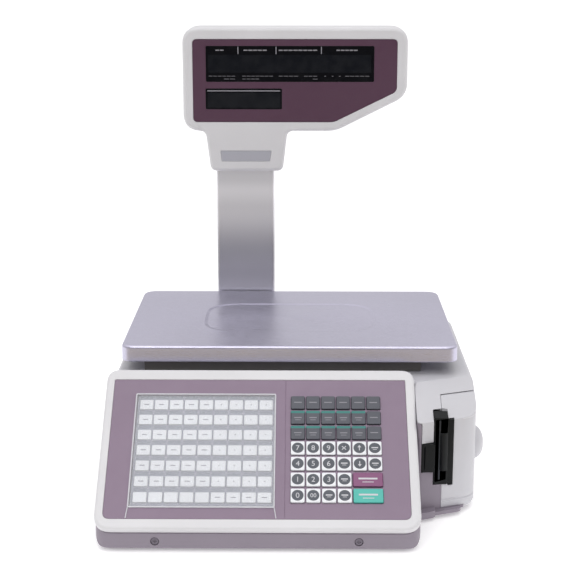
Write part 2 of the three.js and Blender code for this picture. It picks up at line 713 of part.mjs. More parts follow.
// ---- Label printer -------------------------------------------------------------------------
function printerDoor() {
  const skin = bodyShell()
    .intersect(doorSpace(0))
    .subtract(outletSpace(0.5))
    .subtract(box(0, FAR, -FAR, FAR, DOOR.z1 - 0.8, FAR));
  const knuckles = [[14, 30], [66, 78], [112, 127]].map(([z0, z1]) =>
    rod(HINGE.knuckle, HINGE.x, HINGE.y, z0, z1, 20).add(
      box(HINGE.x - 1, RIGHT_X - 0.5, HINGE.y - 10, HINGE.y, z0, z1),
    ),
  );
  return join([skin, ...knuckles]).subtract(rod(HINGE.pin + GAP, HINGE.x, HINGE.y, 0, 200));
}

function doorHandle() {
  const centre = { y: -62, z: 60 };
  const height = 211.5 - RIGHT_X - GAP;
  const dome = turned(
    [[0, 0], [19.5, 0], [19.3, 4], [17.5, 9], [13.5, 12.8], [7, height - 0.7], [0, height]],
    0,
    0,
    24,
  );
  const out = new THREE.Matrix4().makeBasis(Y, Z, X);
  out.setPosition(RIGHT_X + GAP, centre.y, centre.z);
  return transformed(dome, out);
}

function labelOutlet() {
  const [tall, right, left] = OUTLET_BLOCKS;
  const frame = box(tall[0], tall[1], -137.5, -125, tall[2], tall[3]);
  const slot = box(155.5, 161.5, -160, -100, 44, 112);
  const strip = box(right[0], right[1], -133, -126, right[2], right[3]);
  const block = box(left[0], left[1], -145, -130, left[2], left[3]);
  return cut(join([frame, strip, block]), [slot]);
}

// A spur gear with straight-sided teeth, thinned so that the pair runs free.
function gear(teeth, x, y, bore, phase) {
  const pitchRadius = (GEAR.module * teeth) / 2;
  const tip = pitchRadius + 0.8 * GEAR.module;
  const root = pitchRadius - 1.1 * GEAR.module;
  const pitch = (2 * Math.PI) / teeth;
  const points = [];
  for (let tooth = 0; tooth < teeth; tooth += 1) {
    const corners = [[root, -0.26], [tip, -0.1], [tip, 0.1], [root, 0.26]];
    for (const [radius, share] of corners) {
      const angle = phase + (tooth + share) * pitch;
      points.push([x + radius * Math.cos(angle), y + radius * Math.sin(angle)]);
    }
  }
  return prism(points, GEAR.z0, GEAR.z1).subtract(rod(bore, x, y, 0, 100, 12));
}

const MESH_ANGLE = THREE.MathUtils.degToRad(43.5);
const CENTRE_DISTANCE = (GEAR.module * (GEAR.platenTeeth + GEAR.pinionTeeth)) / 2;
const MOTOR = {
  x: PLATEN.x + CENTRE_DISTANCE * Math.cos(MESH_ANGLE),
  y: PLATEN.y + CENTRE_DISTANCE * Math.sin(MESH_ANGLE),
  r: 17.5,
  z0: 17,
  z1: 31.2,
};

function mechanismFrame() {
  const plates = [31.5, 109.5].map((z) => box(142, 180, -118, -81, z, z + 2));
  const post = box(158, 180, -85, -81, DECK_Z, 111.5);
  const holes = [
    rod(PLATEN.shaft + GAP, PLATEN.x, PLATEN.y, 0, 200, 12),
    rod(PLATEN.shaft + GAP, HEAD_PIVOT.x, HEAD_PIVOT.y, 0, 200, 12),
    rod(3, MOTOR.x, MOTOR.y, 0, 60, 12),
  ];
  return cut(join([...plates, post]), holes);
}

function printHead() {
  const { x, y } = HEAD_PIVOT;
  const block = box(148, PLATEN.x - PLATEN.r - 0.4, -119, -98, PLATEN.z0, PLATEN.z1);
  const arm = box(x - 3, 150, -99, y + 3, PLATEN.z0, PLATEN.z1);
  const pivot = rod(PLATEN.shaft, x, y, 31.6, 116, 12);
  const lever = prism(rectangle(x - 4, x + 32, y - 4, y + 4, 3), 112.2, 116.2, 0, 2);
  return join([block, arm, pivot, lever]);
}

function platenRoller() {
  const { x, y, r, z0, z1, shaft } = PLATEN;
  const profile = [[0, 31.6], [shaft, 31.6], [shaft, z0], [r, z0], [r, z1], [shaft, z1]];
  return turned([...profile, [shaft, 111.8], [0, 111.8]], x, y, 20);
}

function labelRoll() {
  const { x, y, r, core, z0, z1 } = ROLL;
  const ring = [[core, z0], [r - 1, z0], [r, z0 + 1], [r, z1 - 1], [r - 1, z1], [core, z1], [core, z0]];
  return turned(ring, x, y, 32);
}

function rollSpindle() {
  const hub = ROLL.core - 0.6;
  const profile = [
    [0, DECK_Z],
    [16, DECK_Z],
    [8, DECK_Z + 5],
    [8, 38],
    [34, 40],
    [34, ROLL.z0 - 0.5],
    [hub, ROLL.z0 - 0.5],
    [hub, 106],
    [hub - 3, 110],
    [0, 110],
  ];
  return turned(profile, ROLL.x, ROLL.y, 24);
}

function rewindSpool() {
  const low = DECK_Z + GAP;
  const profile = [[0, low], [6, low], [6, 38], [14, 40], [14, 43], [8, 43], [7, 108], [0, 108]];
  return turned(profile, REWIND.x, REWIND.y, 20);
}

add("printer_door", printerDoor(), LIGHT_GREY);
add("door_handle", doorHandle(), LIGHT_GREY);
add("door_hinge_pin", rod(HINGE.pin, HINGE.x, HINGE.y, BASE_Z + WALL + GAP, 133.5, 12), STEEL);
add("label_outlet", labelOutlet(), BLACK);
add("tear_bar", box(153.4, 155.2, -138.8, -137.5 - GAP, 44, 112), STEEL);
add("mechanism_frame", mechanismFrame(), SHEET_STEEL);
add("print_head", printHead(), ALUMINIUM);
add("platen_roller", platenRoller(), RUBBER);
add(
  "platen_gear",
  gear(GEAR.platenTeeth, PLATEN.x, PLATEN.y, PLATEN.shaft + GAP, MESH_ANGLE),
  WHITE_KEY,
);
add(
  "feed_motor",
  rod(MOTOR.r, MOTOR.x, MOTOR.y, MOTOR.z0, MOTOR.z1, 24).subtract(
    rod(1.8, MOTOR.x, MOTOR.y, 21.7, 60, 10),
  ),
  SHEET_STEEL,
);
add(
  "motor_pinion",
  gear(GEAR.pinionTeeth, MOTOR.x, MOTOR.y, 0.5, MESH_ANGLE + Math.PI + Math.PI / GEAR.pinionTeeth).add(
    rod(1.5, MOTOR.x, MOTOR.y, 22, 40, 10),
  ),
  ALUMINIUM,
);
add("label_roll", labelRoll(), PAPER);
add("roll_spindle", rollSpindle(), BLACK);
add("rewind_spool", rewindSpool(), BLACK);

// ---- Electronics ---------------------------------------------------------------------------
function mainBoard() {
  const board = box(-148, -96, -65, 85, 20, 21.6);
  const chips = [box(-140, -120, -40, -15, 21, 24), box(-135, -105, 20, 50, 21, 29)];
  const legs = [];
  for (const x of [-144, -100]) for (const y of [-61, 81]) legs.push(rod(2.5, x, y, DECK_Z, 20.5, 8));
  return join([board, ...chips, ...legs]);
}

function powerInlet() {
  const { x0, x1, z0, z1 } = INLET;
  const body = box(x0, x1, 158, REAR_Y + 1, z0, z1);
  const flange = box(x0 - 3, x1 + 3, REAR_Y + GAP, REAR_Y + 2, z0 - 3, z1 + 3);
  const socket = box(x0 + 2, x1 - 2, 164, REAR_Y + 5, z0 + 4, z1 - 4);
  const middle = (x0 + x1) / 2;
  const pins = [[middle - 7, z0 + 9], [middle, z0 + 14], [middle + 7, z0 + 9]].map(([x, z]) =>
    box(x - 1, x + 1, 162, 175, z - 2, z + 2),
  );
  return join([body.add(flange).subtract(socket), ...pins]);
}

function powerSwitch() {
  const tilt = THREE.MathUtils.degToRad(-7);
  const side = [[-4, -10.6], [6.6, -10.6], [4.9, 0], [6.6, 10.6], [-4, 10.6]];
  const rocker = prismX(side, SWITCH.x0 + 0.6, SWITCH.x1 - 0.6);
  const place = new THREE.Matrix4().makeRotationX(tilt).setPosition(0, SWITCH.y, SWITCH.z);
  return transformed(rocker, place);
}

add("main_board", mainBoard(), BOARD_GREEN);
add("power_supply", box(85, 160, 66, 140, DECK_Z, 50), ALUMINIUM);
add("power_inlet", powerInlet(), BLACK);
add("power_switch", powerSwitch(), BLACK);

export default scale;
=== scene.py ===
import math

import bmesh
import bpy
from mathutils import Matrix, Vector


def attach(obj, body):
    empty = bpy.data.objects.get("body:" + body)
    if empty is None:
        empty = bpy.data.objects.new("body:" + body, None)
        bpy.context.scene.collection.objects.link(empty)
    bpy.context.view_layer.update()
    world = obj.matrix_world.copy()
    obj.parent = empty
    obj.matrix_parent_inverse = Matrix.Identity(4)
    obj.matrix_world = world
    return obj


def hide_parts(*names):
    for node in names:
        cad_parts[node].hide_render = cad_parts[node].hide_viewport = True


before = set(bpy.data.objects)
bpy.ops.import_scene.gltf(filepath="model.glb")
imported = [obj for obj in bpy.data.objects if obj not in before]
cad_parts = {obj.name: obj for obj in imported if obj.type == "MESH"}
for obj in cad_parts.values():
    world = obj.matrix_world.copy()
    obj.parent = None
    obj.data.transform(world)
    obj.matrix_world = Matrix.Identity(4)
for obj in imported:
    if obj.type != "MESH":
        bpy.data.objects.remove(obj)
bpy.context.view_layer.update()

# GAP is the joint between pieces that meet; FAR reaches past the whole machine.
MM = 0.001
GAP = 0.3
FAR = 600

# ---- Dimensions, as in the CAD model but for the shoulder, which is 1.1 lower here ----
WALL = 3
BASE_Z = 6
SKIRT_Z = 3.4
SPLIT_Z = 54
TOP_Z = 139.3
LEFT_X = -207
RIGHT_X = 197.2
REAR_Y = 180
CONSOLE_BACK_Y = -87
STEP_X = 129.2
SWEEP = math.radians(22)
FACE_RIGHT_Y = -119.5
SHOULDER_Z = 110.9
SHOULDER_SLOPE = math.tan(math.radians(28))
SKIRT_Y = -231.5
CONSOLE_X = (-211, 128.6)
CONSOLE_Z = 152.3
UNDER_BEZEL = 8.3
SLOPE = math.radians(40)
DOOR = {"x0": 157.8, "y1": 23, "z0": 11.6, "z1": 128.4, "front_z": 9.5, "side_z": 6.5}
DOOR_SIDE_X = 184
HINGE = (192.2, 18)
PIN_RADIUS = 2
KNUCKLES = [(14, 30), (66, 78), (112, 127)]
OUTLET_BLOCKS = [
    (148, 163.4, 38, 118.6),
    (162.5, 170, 37, 111.5),
    (134.5, 149, 54.6, 86.8),
]
SLOT = (155.5, 161.5, 44, 112)
FOOT_PLACES = {
    "foot_front_left": (-185, -205),
    "foot_front_right": (100, -205),
    "foot_rear_left": (-185, 155),
    "foot_rear_right": (172, 155),
}
PAD_RADIUS, STUD_RADIUS = 14, 4
SCREW_PLACES = {"front_screw_left": -147.8, "front_screw_right": 63.9}
SCREW_Z = 11.8
INLET = (120, 148, 17, 41)
SWITCH = (92, 106, 20, 44)

# ---- Placing matrices ----
ALONG_X = Matrix(((0, 0, 1, 0), (1, 0, 0, 0), (0, 1, 0, 0), (0, 0, 0, 1)))
ALONG_Y = Matrix(((1, 0, 0, 0), (0, 0, -1, 0), (0, 1, 0, 0), (0, 0, 0, 1)))
CONSOLE = Matrix.Translation((0, CONSOLE_BACK_Y, CONSOLE_Z)) @ Matrix.Rotation(SLOPE, 4, "X")


# ---- Drawing helpers ----
def rectangle(x0, x1, y0, y1, r0=0, r1=None):
    r1 = r0 if r1 is None else r1
    return [(x0, y0, r0), (x1, y0, r0), (x1, y1, r1), (x0, y1, r1)]


def corner(point):
    return (point[0], point[1], point[2] if len(point) > 2 else 0)


def inset(points, distance):
    """The counter-clockwise outline moved inwards, corner radii shrinking with it."""
    made = []
    for i, point in enumerate(points):
        a, b, radius = corner(point)
        before = Vector(points[i - 1][:2])
        after = Vector(points[(i + 1) % len(points)][:2])
        here = Vector((a, b))
        into = (here - before).normalized()
        out = (after - here).normalized()
        turn = into.x * out.y - into.y * out.x
        along = distance * (1 - into.dot(out)) / turn
        shrink = -distance if turn > 0 else distance
        x = a - into.y * distance - into.x * along
        y = b + into.x * distance - into.y * along
        made.append((x, y, max(radius + shrink, 0.4) if radius > 0 else 0))
    return made


def ring_of(points, segments):
    """Points along an outline whose corners are quadratic curves."""
    ring = []
    for i, point in enumerate(points):
        a, b, radius = corner(point)
        here = Vector((a, b))
        if radius <= 0:
            ring.append(here)
            continue
        start = here + (Vector(points[i - 1][:2]) - here).normalized() * radius
        end = here + (Vector(points[(i + 1) % len(points)][:2]) - here).normalized() * radius
        for step in range(segments + 1):
            t = step / segments
            ring.append(start * (1 - t) ** 2 + here * 2 * t * (1 - t) + end * t * t)
    return ring


def level(points, z, segments):
    return [(p.x, p.y, z) for p in ring_of(points, segments)]


def loft(rings, closed=False):
    """A temporary object skinned over rings of equally many points, given as 3-D tuples."""
    count = len(rings[0])
    verts = [tuple(p) for ring in rings for p in ring]
    faces = []
    for i in range(len(rings) if closed else len(rings) - 1):
        low = i * count
        high = ((i + 1) % len(rings)) * count
        for a in range(count):
            b = (a + 1) % count
            faces.append((low + a, low + b, high + b, high + a))
    if not closed:
        faces.append(tuple(reversed(range(count))))
        top = (len(rings) - 1) * count
        faces.append(tuple(range(top, top + count)))
    mesh = bpy.data.meshes.new("shape")
    mesh.from_pydata(verts, [], faces)
    mesh.update()
    return new_object(mesh)


def new_object(data, name="shape"):
    made = bpy.data.objects.new(name, data)
    bpy.context.scene.collection.objects.link(made)
    return made


def evaluated_mesh(made):
    bpy.context.view_layer.update()
    seen = made.evaluated_get(bpy.context.evaluated_depsgraph_get())
    return bpy.data.meshes.new_from_object(seen)


def rim_levels(z0, z1, top=0, bottom=0, steps=6):
    """(inset, height) pairs up a wall whose rims are rounded."""
    levels = []
    for step in range(steps + 1 if bottom > 0 else 1):
        turn = math.pi / 2 * (1 - step / steps)
        levels.append((bottom * (1 - math.cos(turn)), z0 + bottom * (1 - math.sin(turn))))
    for step in range(steps + 1 if top > 0 else 1):
        turn = math.pi / 2 * step / steps
        levels.append((top * (1 - math.cos(turn)), z1 - top * (1 - math.sin(turn))))
    return levels


def prism(points, z0, z1, top=0, bottom=0, segments=10, steps=6, place=None):
    return tapered(points, rim_levels(z0, z1, top, bottom, steps), segments, place)


def tapered(points, levels, segments=10, place=None):
    """A column whose outline is inset by its own distance at each height."""
    rings = [level(inset(points, depth) if depth else points, z, segments) for depth, z in levels]
    return placed(loft(rings), place)


def prism_x(points, x0, x1, **options):
    return prism(points, x0, x1, place=ALONG_X, **options)


def prism_y(points, y0, y1, front=0, **options):
    return prism(points, -y1, -y0, top=front, place=ALONG_Y, **options)


def box(x0, x1, y0, y1, z0, z1):
    return prism(rectangle(x0, x1, y0, y1), z0, z1)


def placed(shape, matrix):
    if matrix is not None:
        shape.data.transform(matrix)
    return shape


def rod(radius, x, y, z0, z1, segments=32, place=None, rim=0):
    levels = rim_levels(z0, z1, top=rim, steps=4)
    rings = [circle(radius - distance, x, y, z, segments) for distance, z in levels]
    return placed(loft(rings), place)


def circle(radius, x, y, z, segments):
    turns = [2 * math.pi * i / segments for i in range(segments)]
    return [(x + radius * math.cos(t), y + radius * math.sin(t), z) for t in turns]


def turned(profile, x, y, segments=48, closed=False):
    """A solid of revolution about a vertical axis; the profile is (radius, z) going up outside."""
    return loft([circle(radius, x, y, z, segments) for radius, z in profile], closed)


# ---- Combining solids ----
def combine(base, tools, operation):
    for tool in tools:
        step = base.modifiers.new("combine", "BOOLEAN")
        step.operation = operation
        step.object = tool
        step.solver = "MANIFOLD"
    mesh = evaluated_mesh(base)
    base.modifiers.clear()
    base.data = mesh
    for tool in tools:
        bpy.data.objects.remove(tool)
    return base


def cut(base, tools):
    return combine(base, tools, "DIFFERENCE")


def join(shapes):
    return combine(shapes[0], shapes[1:], "UNION") if len(shapes) > 1 else shapes[0]


def common(base, tool):
    return combine(base, [tool], "INTERSECT")


def soften(shape, chooses, width, segments):
    """Rounds the edges that chooses picks by their middle point and the two face normals."""
    bm = bmesh.new()
    bm.from_mesh(shape.data)
    bmesh.ops.remove_doubles(bm, verts=bm.verts, dist=0.01)
    bmesh.ops.dissolve_limit(bm, angle_limit=0.004, verts=bm.verts, edges=bm.edges)
    picked = []
    for edge in bm.edges:
        if len(edge.link_faces) != 2:
            continue
        middle = (edge.verts[0].co + edge.verts[1].co) / 2
        normals = [face.normal for face in edge.link_faces]
        if normals[0].angle(normals[1], 0) > 0.2 and chooses(middle, normals):
            picked.append(edge)
    options = {"profile": 0.5, "affect": "EDGES", "clamp_overlap": True}
    bmesh.ops.bevel(bm, geom=picked, offset=width, segments=segments, **options)
    bm.to_mesh(shape.data)
    bm.free()
    return shape


# ---- Materials ----
def linear(r, g, b):
    def channel(value):
        value /= 255
        return value / 12.92 if value <= 0.04045 else ((value + 0.055) / 1.055) ** 2.4

    return (channel(r), channel(g), channel(b), 1)


def map_range(tree, value, low, high, start, end):
    """The value's stretch from start to end, spread from low to high."""
    node = tree.nodes.new("ShaderNodeMapRange")
    for name, number in zip(("From Min", "From Max", "To Min", "To Max"), (start, end, low, high)):
        node.inputs[name].default_value = number
    tree.links.new(value, node.inputs["Value"])
    return node.outputs["Result"]


def tone_ramp(tree, value, start, end, tones):
    """Colours that ease into each other along a value, given as (value, colour) pairs."""
    ramp = tree.nodes.new("ShaderNodeValToRGB")
    ramp.color_ramp.interpolation = "EASE"
    while len(ramp.color_ramp.elements) < len(tones):
        ramp.color_ramp.elements.new(0.5)
    for element, (place, tone) in zip(ramp.color_ramp.elements, tones):
        element.position = (place - start) / (end - start)
        element.color = linear(*tone)
    tree.links.new(map_range(tree, value, 0, 1, start, end), ramp.inputs["Fac"])
    return ramp.outputs["Color"]


def split_axes(tree, vector):
    node = tree.nodes.new("ShaderNodeSeparateXYZ")
    tree.links.new(vector, node.inputs[0])
    return node.outputs


class Paint:
    """A node material whose textures follow the piece's own coordinates."""

    def __init__(self, name, color, roughness=0.5, metallic=0, specular=0.5):
        self.material = bpy.data.materials.new(name)
        self.material.use_nodes = True
        self.tree = self.material.node_tree
        self.shader = self.tree.nodes["Principled BSDF"]
        self.color = linear(*color)
        self.set(Base_Color=self.color, Roughness=roughness, Metallic=metallic)
        self.set(Specular_IOR_Level=specular)
        self.place = self.node("TexCoord").outputs["Object"]

    def node(self, kind):
        return self.tree.nodes.new("ShaderNode" + kind)

    def link(self, output, target):
        """Feeds an output into a node's input, or into the shader's input of that name."""
        target = self.shader.inputs[target] if isinstance(target, str) else target
        self.tree.links.new(output, target)

    def set(self, **values):
        for name, value in values.items():
            self.shader.inputs[name.replace("_", " ")].default_value = value

    def noise(self, scale, detail=2, stretch=None):
        source = self.place
        if stretch:
            mapping = self.node("Mapping")
            mapping.inputs["Scale"].default_value = stretch
            self.link(source, mapping.inputs["Vector"])
            source = mapping.outputs["Vector"]
        texture = self.node("TexNoise")
        texture.inputs["Scale"].default_value = scale
        texture.inputs["Detail"].default_value = detail
        self.link(source, texture.inputs["Vector"])
        return texture.outputs["Fac"]

    def vary_color(self, value, amount):
        ramp = self.node("ValToRGB")
        for element, side in zip(ramp.color_ramp.elements, (-1, 1)):
            element.position = 0.5 + 0.15 * side
            scaled = [min(1, channel * (1 + side * amount)) for channel in self.color[:3]]
            element.color = (*scaled, 1)
        self.link(value, ramp.inputs["Fac"])
        self.link(ramp.outputs["Color"], "Base Color")

    def vary_roughness(self, value, low, high):
        self.link(map_range(self.tree, value, low, high, 0.35, 0.65), "Roughness")

    def bump(self, value, strength, distance):
        node = self.node("Bump")
        node.inputs["Strength"].default_value = strength
        node.inputs["Distance"].default_value = distance
        self.link(value, node.inputs["Height"])
        self.link(node.outputs["Normal"], "Normal")

    def painted_light_by_height(self, tones):
        """A grey tone that changes with height, given as (metres, tone) pairs: painted reflection
        and shade.
        """
        greys = [(height, (tone, tone - 1, tone + 4)) for height, tone in tones]
        z = split_axes(self.tree, self.place)["Z"]
        self.link(tone_ramp(self.tree, z, tones[0][0], tones[-1][0], greys), "Base Color")


def moulded(name, color, roughness, grain=0.05, specular=0.5, tone=0.02):
    """Injection-moulded plastic: fine spark-eroded grain and very slight tone changes."""
    paint = Paint(name, color, roughness, specular=specular)
    paint.vary_color(paint.noise(14, 3), tone)
    paint.vary_roughness(paint.noise(90, 3), roughness - 0.05, roughness + 0.05)
    paint.bump(paint.noise(2600, 2), grain, 0.0001)
    return paint


def printed(name, color):
    return moulded(name, color, 0.45, grain=0.02)


def brushed(name, color, low, high, stretch, strength=0.12):
    """Metal with fine scratches drawn out across the axes that stretch scales up."""
    paint = Paint(name, color, (low + high) / 2, metallic=1)
    paint.vary_color(paint.noise(5, 3), 0.03)
    paint.vary_roughness(paint.noise(60, 4, stretch=stretch), low, high)
    paint.bump(paint.noise(90, 4, stretch=stretch), strength, 0.00005)
    paint.set(Anisotropic=0.4)
    return paint


housing_light = moulded("housing_light", (203, 202, 207), 0.42, grain=0.12)
housing_mauve = moulded("housing_mauve", (140, 131, 143), 0.45, grain=0.12)
bezel_white = moulded("bezel_white", (220, 219, 222), 0.36, grain=0.07)
fascia_film = moulded("fascia_film", (137, 118, 138), 0.4, grain=0.1)
head_panel = moulded("head_panel", (84, 54, 74), 0.38, tone=0.03)
window_glass = moulded("window_glass", (13, 13, 17), 0.1, grain=0, specular=0.35)
window_lcd = moulded("window_lcd", (15, 17, 23), 0.2, grain=0.02, specular=0.35)
print_white = printed("print_white", (206, 206, 211))
print_grey = printed("print_grey", (150, 148, 156))
caption_grey = printed("caption_grey", (140, 138, 144))
caption_dim = printed("caption_dim", (104, 103, 108))
key_white = moulded("key_white", (236, 238, 242), 0.42)
key_dark = moulded("key_dark", (84, 86, 95), 0.5, grain=0.1)
key_disc = moulded("key_disc", (82, 86, 94), 0.45)
key_teal = moulded("key_teal", (80, 186, 174), 0.42)
key_band = moulded("key_band", (50, 126, 120), 0.42)
key_magenta = moulded("key_magenta", (134, 80, 120), 0.42)
label_card = moulded("label_card", (156, 157, 169), 0.6, grain=0.1)
card_field = moulded("card_field", (140, 143, 155), 0.6, grain=0.1)
plate_grey = moulded("plate_grey", (178, 178, 187), 0.5, grain=0.1)
black_plastic = moulded("black_plastic", (18, 20, 22), 0.35, grain=0.1, specular=0.22)
black_deep = moulded("black_deep", (17, 17, 19), 0.3, grain=0.06)
# The next colour is painted shade: the near-black lining inside the label slot.
slot_painted_shade = moulded("slot_painted_shade", (6, 6, 7), 0.6, specular=0.1)
rubber = moulded("rubber", (38, 38, 40), 0.75, grain=0.4, tone=0.08)
gear_plastic = moulded("gear_plastic", (226, 224, 214), 0.4, grain=0.06)
paper = moulded("paper", (240, 238, 232), 0.85, grain=0.15)
board_green = moulded("board_green", (44, 104, 68), 0.35, grain=0.1, tone=0.08)
screw_dark = moulded("screw_dark", (112, 104, 116), 0.4, grain=0.1)
steel = brushed("stainless", (199, 196, 214), 0.26, 0.4, (1, 60, 60))
steel_pole = brushed("pole_paint", (205, 204, 209), 0.3, 0.38, (60, 60, 1), strength=0.05)
steel_pole.set(Metallic=0.8)
# The pole's grey changes with height: painted reflection and shade, darkest about 0.22 m up,
# brightest about 0.3 m up and a little darker just under the neck.
steel_pole.painted_light_by_height(
    [(0.165, 208), (0.2, 182), (0.225, 174), (0.28, 220), (0.305, 238), (0.32, 226)]
)
zinc = brushed("zinc_sheet", (140, 142, 146), 0.35, 0.6, (8, 8, 8), strength=0.2)
dark_sheet = moulded("dark_sheet", (98, 95, 93), 0.5, grain=0.2)
tear_steel = brushed("tear_steel", (62, 64, 68), 0.3, 0.45, (40, 40, 1))
aluminium = brushed("aluminium", (186, 188, 192), 0.3, 0.5, (1, 40, 40))
clear = moulded("clear_cover", (236, 238, 243), 0.16, grain=0.03)
clear.set(Alpha=0.16)
clear_edge = moulded("clear_edge", (232, 232, 238), 0.25, grain=0.03)
clear_edge.set(Alpha=0.62)


# ---- Making pieces ----
EDGE_ANGLE = math.radians(34)


def piece(name, shape, paint, slot, nodes=(), body="base", bevel=0, segments=3, clamp=False):
    """Cleans a millimetre shape, scales it to metres and gives it its finish and its body."""
    bm = bmesh.new()
    bm.from_mesh(shape.data)
    bmesh.ops.remove_doubles(bm, verts=bm.verts, dist=0.02)
    bmesh.ops.dissolve_degenerate(bm, dist=0.01, edges=bm.edges)
    bmesh.ops.dissolve_limit(
        bm, angle_limit=0.004, verts=bm.verts, edges=bm.edges, delimit={"MATERIAL"}
    )
    bm.to_mesh(shape.data)
    bm.free()
    shape.data.transform(Matrix.Scale(MM, 4))
    shape.name = name
    shape.data.name = name
    paint_over(shape, paint)
    finish_edges(shape, bevel, segments, clamp)
    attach(shape, body)
    if nodes:
        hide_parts(*nodes)


def paint_over(shape, paint):
    shape.data.materials.clear()
    shape.data.materials.append(paint.material)
    for polygon in shape.data.polygons:
        polygon.material_index = 0
        polygon.use_smooth = True


def finish_edges(shape, bevel, segments, clamp=False):
    if bevel > 0:
        round_off = shape.modifiers.new("round_off", "BEVEL")
        round_off.width = bevel * MM
        round_off.segments = segments
        round_off.limit_method = "ANGLE"
        round_off.angle_limit = EDGE_ANGLE
        round_off.use_clamp_overlap = clamp
        round_off.miter_outer = "MITER_ARC"
    even = shape.modifiers.new("even_normals", "WEIGHTED_NORMAL")
    even.keep_sharp = True
    even.weight = 60


def dress(node, paint, bevel, segments=2):
    """A CAD node that keeps its shape: flat triangles merged, edges eased, finish given."""
    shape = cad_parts[node]
    paint_over(shape, paint)
    weld = shape.modifiers.new("weld", "WELD")
    weld.merge_threshold = 0.000005
    flat = shape.modifiers.new("flat", "DECIMATE")
    flat.decimate_type = "DISSOLVE"
    flat.angle_limit = math.radians(0.3)
    finish_edges(shape, bevel, segments)


# ---- Body shell ----
# The front left corner is sharper than the CAD's, which closes a gap beside the console.
STEP_FRONT_Y = FACE_RIGHT_Y - (RIGHT_X - STEP_X) * math.tan(SWEEP)
BODY_PLAN = [
    (LEFT_X, CONSOLE_BACK_Y, 1),
    (STEP_X, CONSOLE_BACK_Y, 0),
    (STEP_X, STEP_FRONT_Y, 8),
    (RIGHT_X, FACE_RIGHT_Y, 18),
    (RIGHT_X, REAR_Y, 20),
    (LEFT_X, REAR_Y, 20),
]


def shoulder_cut(distance):
    """All that lies above the leaning shoulder, or above the inner side of its wall."""
    rise = distance / math.cos(math.atan(SHOULDER_SLOPE))
    near, far, above = -30, 80, 220
    low, high = [SHOULDER_Z + SHOULDER_SLOPE * y - rise for y in (near, far)]
    wedge = prism_x([(near, low), (far, high), (far, above), (near, above)], -95, 30)
    turn = Matrix.Translation((RIGHT_X, FACE_RIGHT_Y, 0)) @ Matrix.Rotation(SWEEP, 4, "Z")
    return placed(wedge, turn)


def body_shell():
    outer = cut(prism(BODY_PLAN, BASE_Z, TOP_Z, top=5, segments=12), [shoulder_cut(0)])

    def shoulder_top(middle, normals):
        leaning = any(n.y < -0.3 and 0.4 < n.z < 0.95 for n in normals)
        return leaning and middle.z > TOP_Z - 9 and middle.x > 110 and middle.y < -55

    outer = soften(outer, shoulder_top, 6, 5)
    inner = prism(inset(BODY_PLAN, WALL), BASE_Z + WALL, TOP_Z - WALL, top=4, segments=8)
    return cut(outer, [cut(inner, [shoulder_cut(WALL)])])


def door_space(gap):
    """The door's space, or with a gap the opening that it shuts and swings through."""
    swing = 1.8 if gap > 0 else 0
    x0 = DOOR["x0"] - gap
    floor = prism(inset(BODY_PLAN, WALL + gap), -20, BASE_Z + WALL + 1)
    side_z = -5 if gap > 0 else DOOR["side_z"]
    main = box(x0, FAR, -FAR, DOOR["y1"] + swing, DOOR["z0"] - gap, DOOR["z1"] + gap)
    front = box(x0, FAR + 1, -FAR - 1, -90, DOOR["front_z"] - gap, DOOR["z0"] + 1)
    side = box(DOOR_SIDE_X - gap, FAR + 2, -FAR - 2, 8 + swing, side_z, DOOR["z0"] + 2)
    side = cut(side, [floor])
    return cut(join([main, front, side]), [box(x0 - 1, RIGHT_X - 12, -80, FAR + 9, -20, FAR)])


def outlet_space(gap):
    spaces = [
        box(x0 - gap, x1 + gap, -165 - i, -118 + i, z0 - gap, z1 + gap)
        for i, (x0, x1, z0, z1) in enumerate(OUTLET_BLOCKS)
    ]
    return join(spaces)


def mauve_strip(grow):
    """The part of the lower housing that rises beside the console."""
    x1, z1 = 134 + grow, 110 + grow
    outline = [(STEP_X - 1, 0), (x1, 0), (x1, z1, 3), (STEP_X - 1, z1)]
    return prism_y(outline, -FAR, -125 + grow)


def under_console(y, below):
    """The height at y of a plane that lies below the console's top plane."""
    top = CONSOLE_Z + (y - CONSOLE_BACK_Y) * math.tan(SLOPE)
    return top - below / math.cos(SLOPE)


def console_wedge(distance):
    """The console's solid wedge, or with a distance the hollow inside it, open at the top."""
    hollow = distance > 0
    front = SKIRT_Y + distance
    back = CONSOLE_BACK_Y + (WALL + 8 if hollow else 2)
    rise = 40 if hollow else 0
    bottom = BASE_Z + distance if hollow else SKIRT_Z
    tops = [(y, under_console(y, UNDER_BEZEL) + rise) for y in (back, front)]
    side = prism_x([(front, bottom), (back, bottom), *tops], -FAR, FAR)
    plan = rectangle(*CONSOLE_X, SKIRT_Y, 0, 19, 0.5)
    if hollow:
        column = prism(inset(plan, distance), -10, 300, segments=12)
    else:
        column = prism(plan, SKIRT_Z, 300, bottom=2.5, segments=12)
    x0, x1 = CONSOLE_X[0] + distance, CONSOLE_X[1] - distance
    radius = 14 - distance
    seen_from_front = [(x0, bottom, radius), (x1, bottom, radius), (x1, 310), (x0, 310)]
    rounded = prism_y(seen_from_front, -320, 10, segments=12)
    return common(common(side, column), rounded)


def plinth():
    """Two flat steps that stand out in front of the swept face."""

    def step(x0, x1, forward, z0, z1):
        y0, y1 = [FACE_RIGHT_Y - (RIGHT_X - x) * math.tan(SWEEP) - forward for x in (x0, x1)]
        depth = forward + 2
        return prism([(x0, y0), (x1, y1, 6), (x1, y1 + depth), (x0, y0 + depth)], z0, z1)

    return join([step(STEP_X, 151, 12, 4.2, 12), step(149, 180.5, 8, 5, 9)])


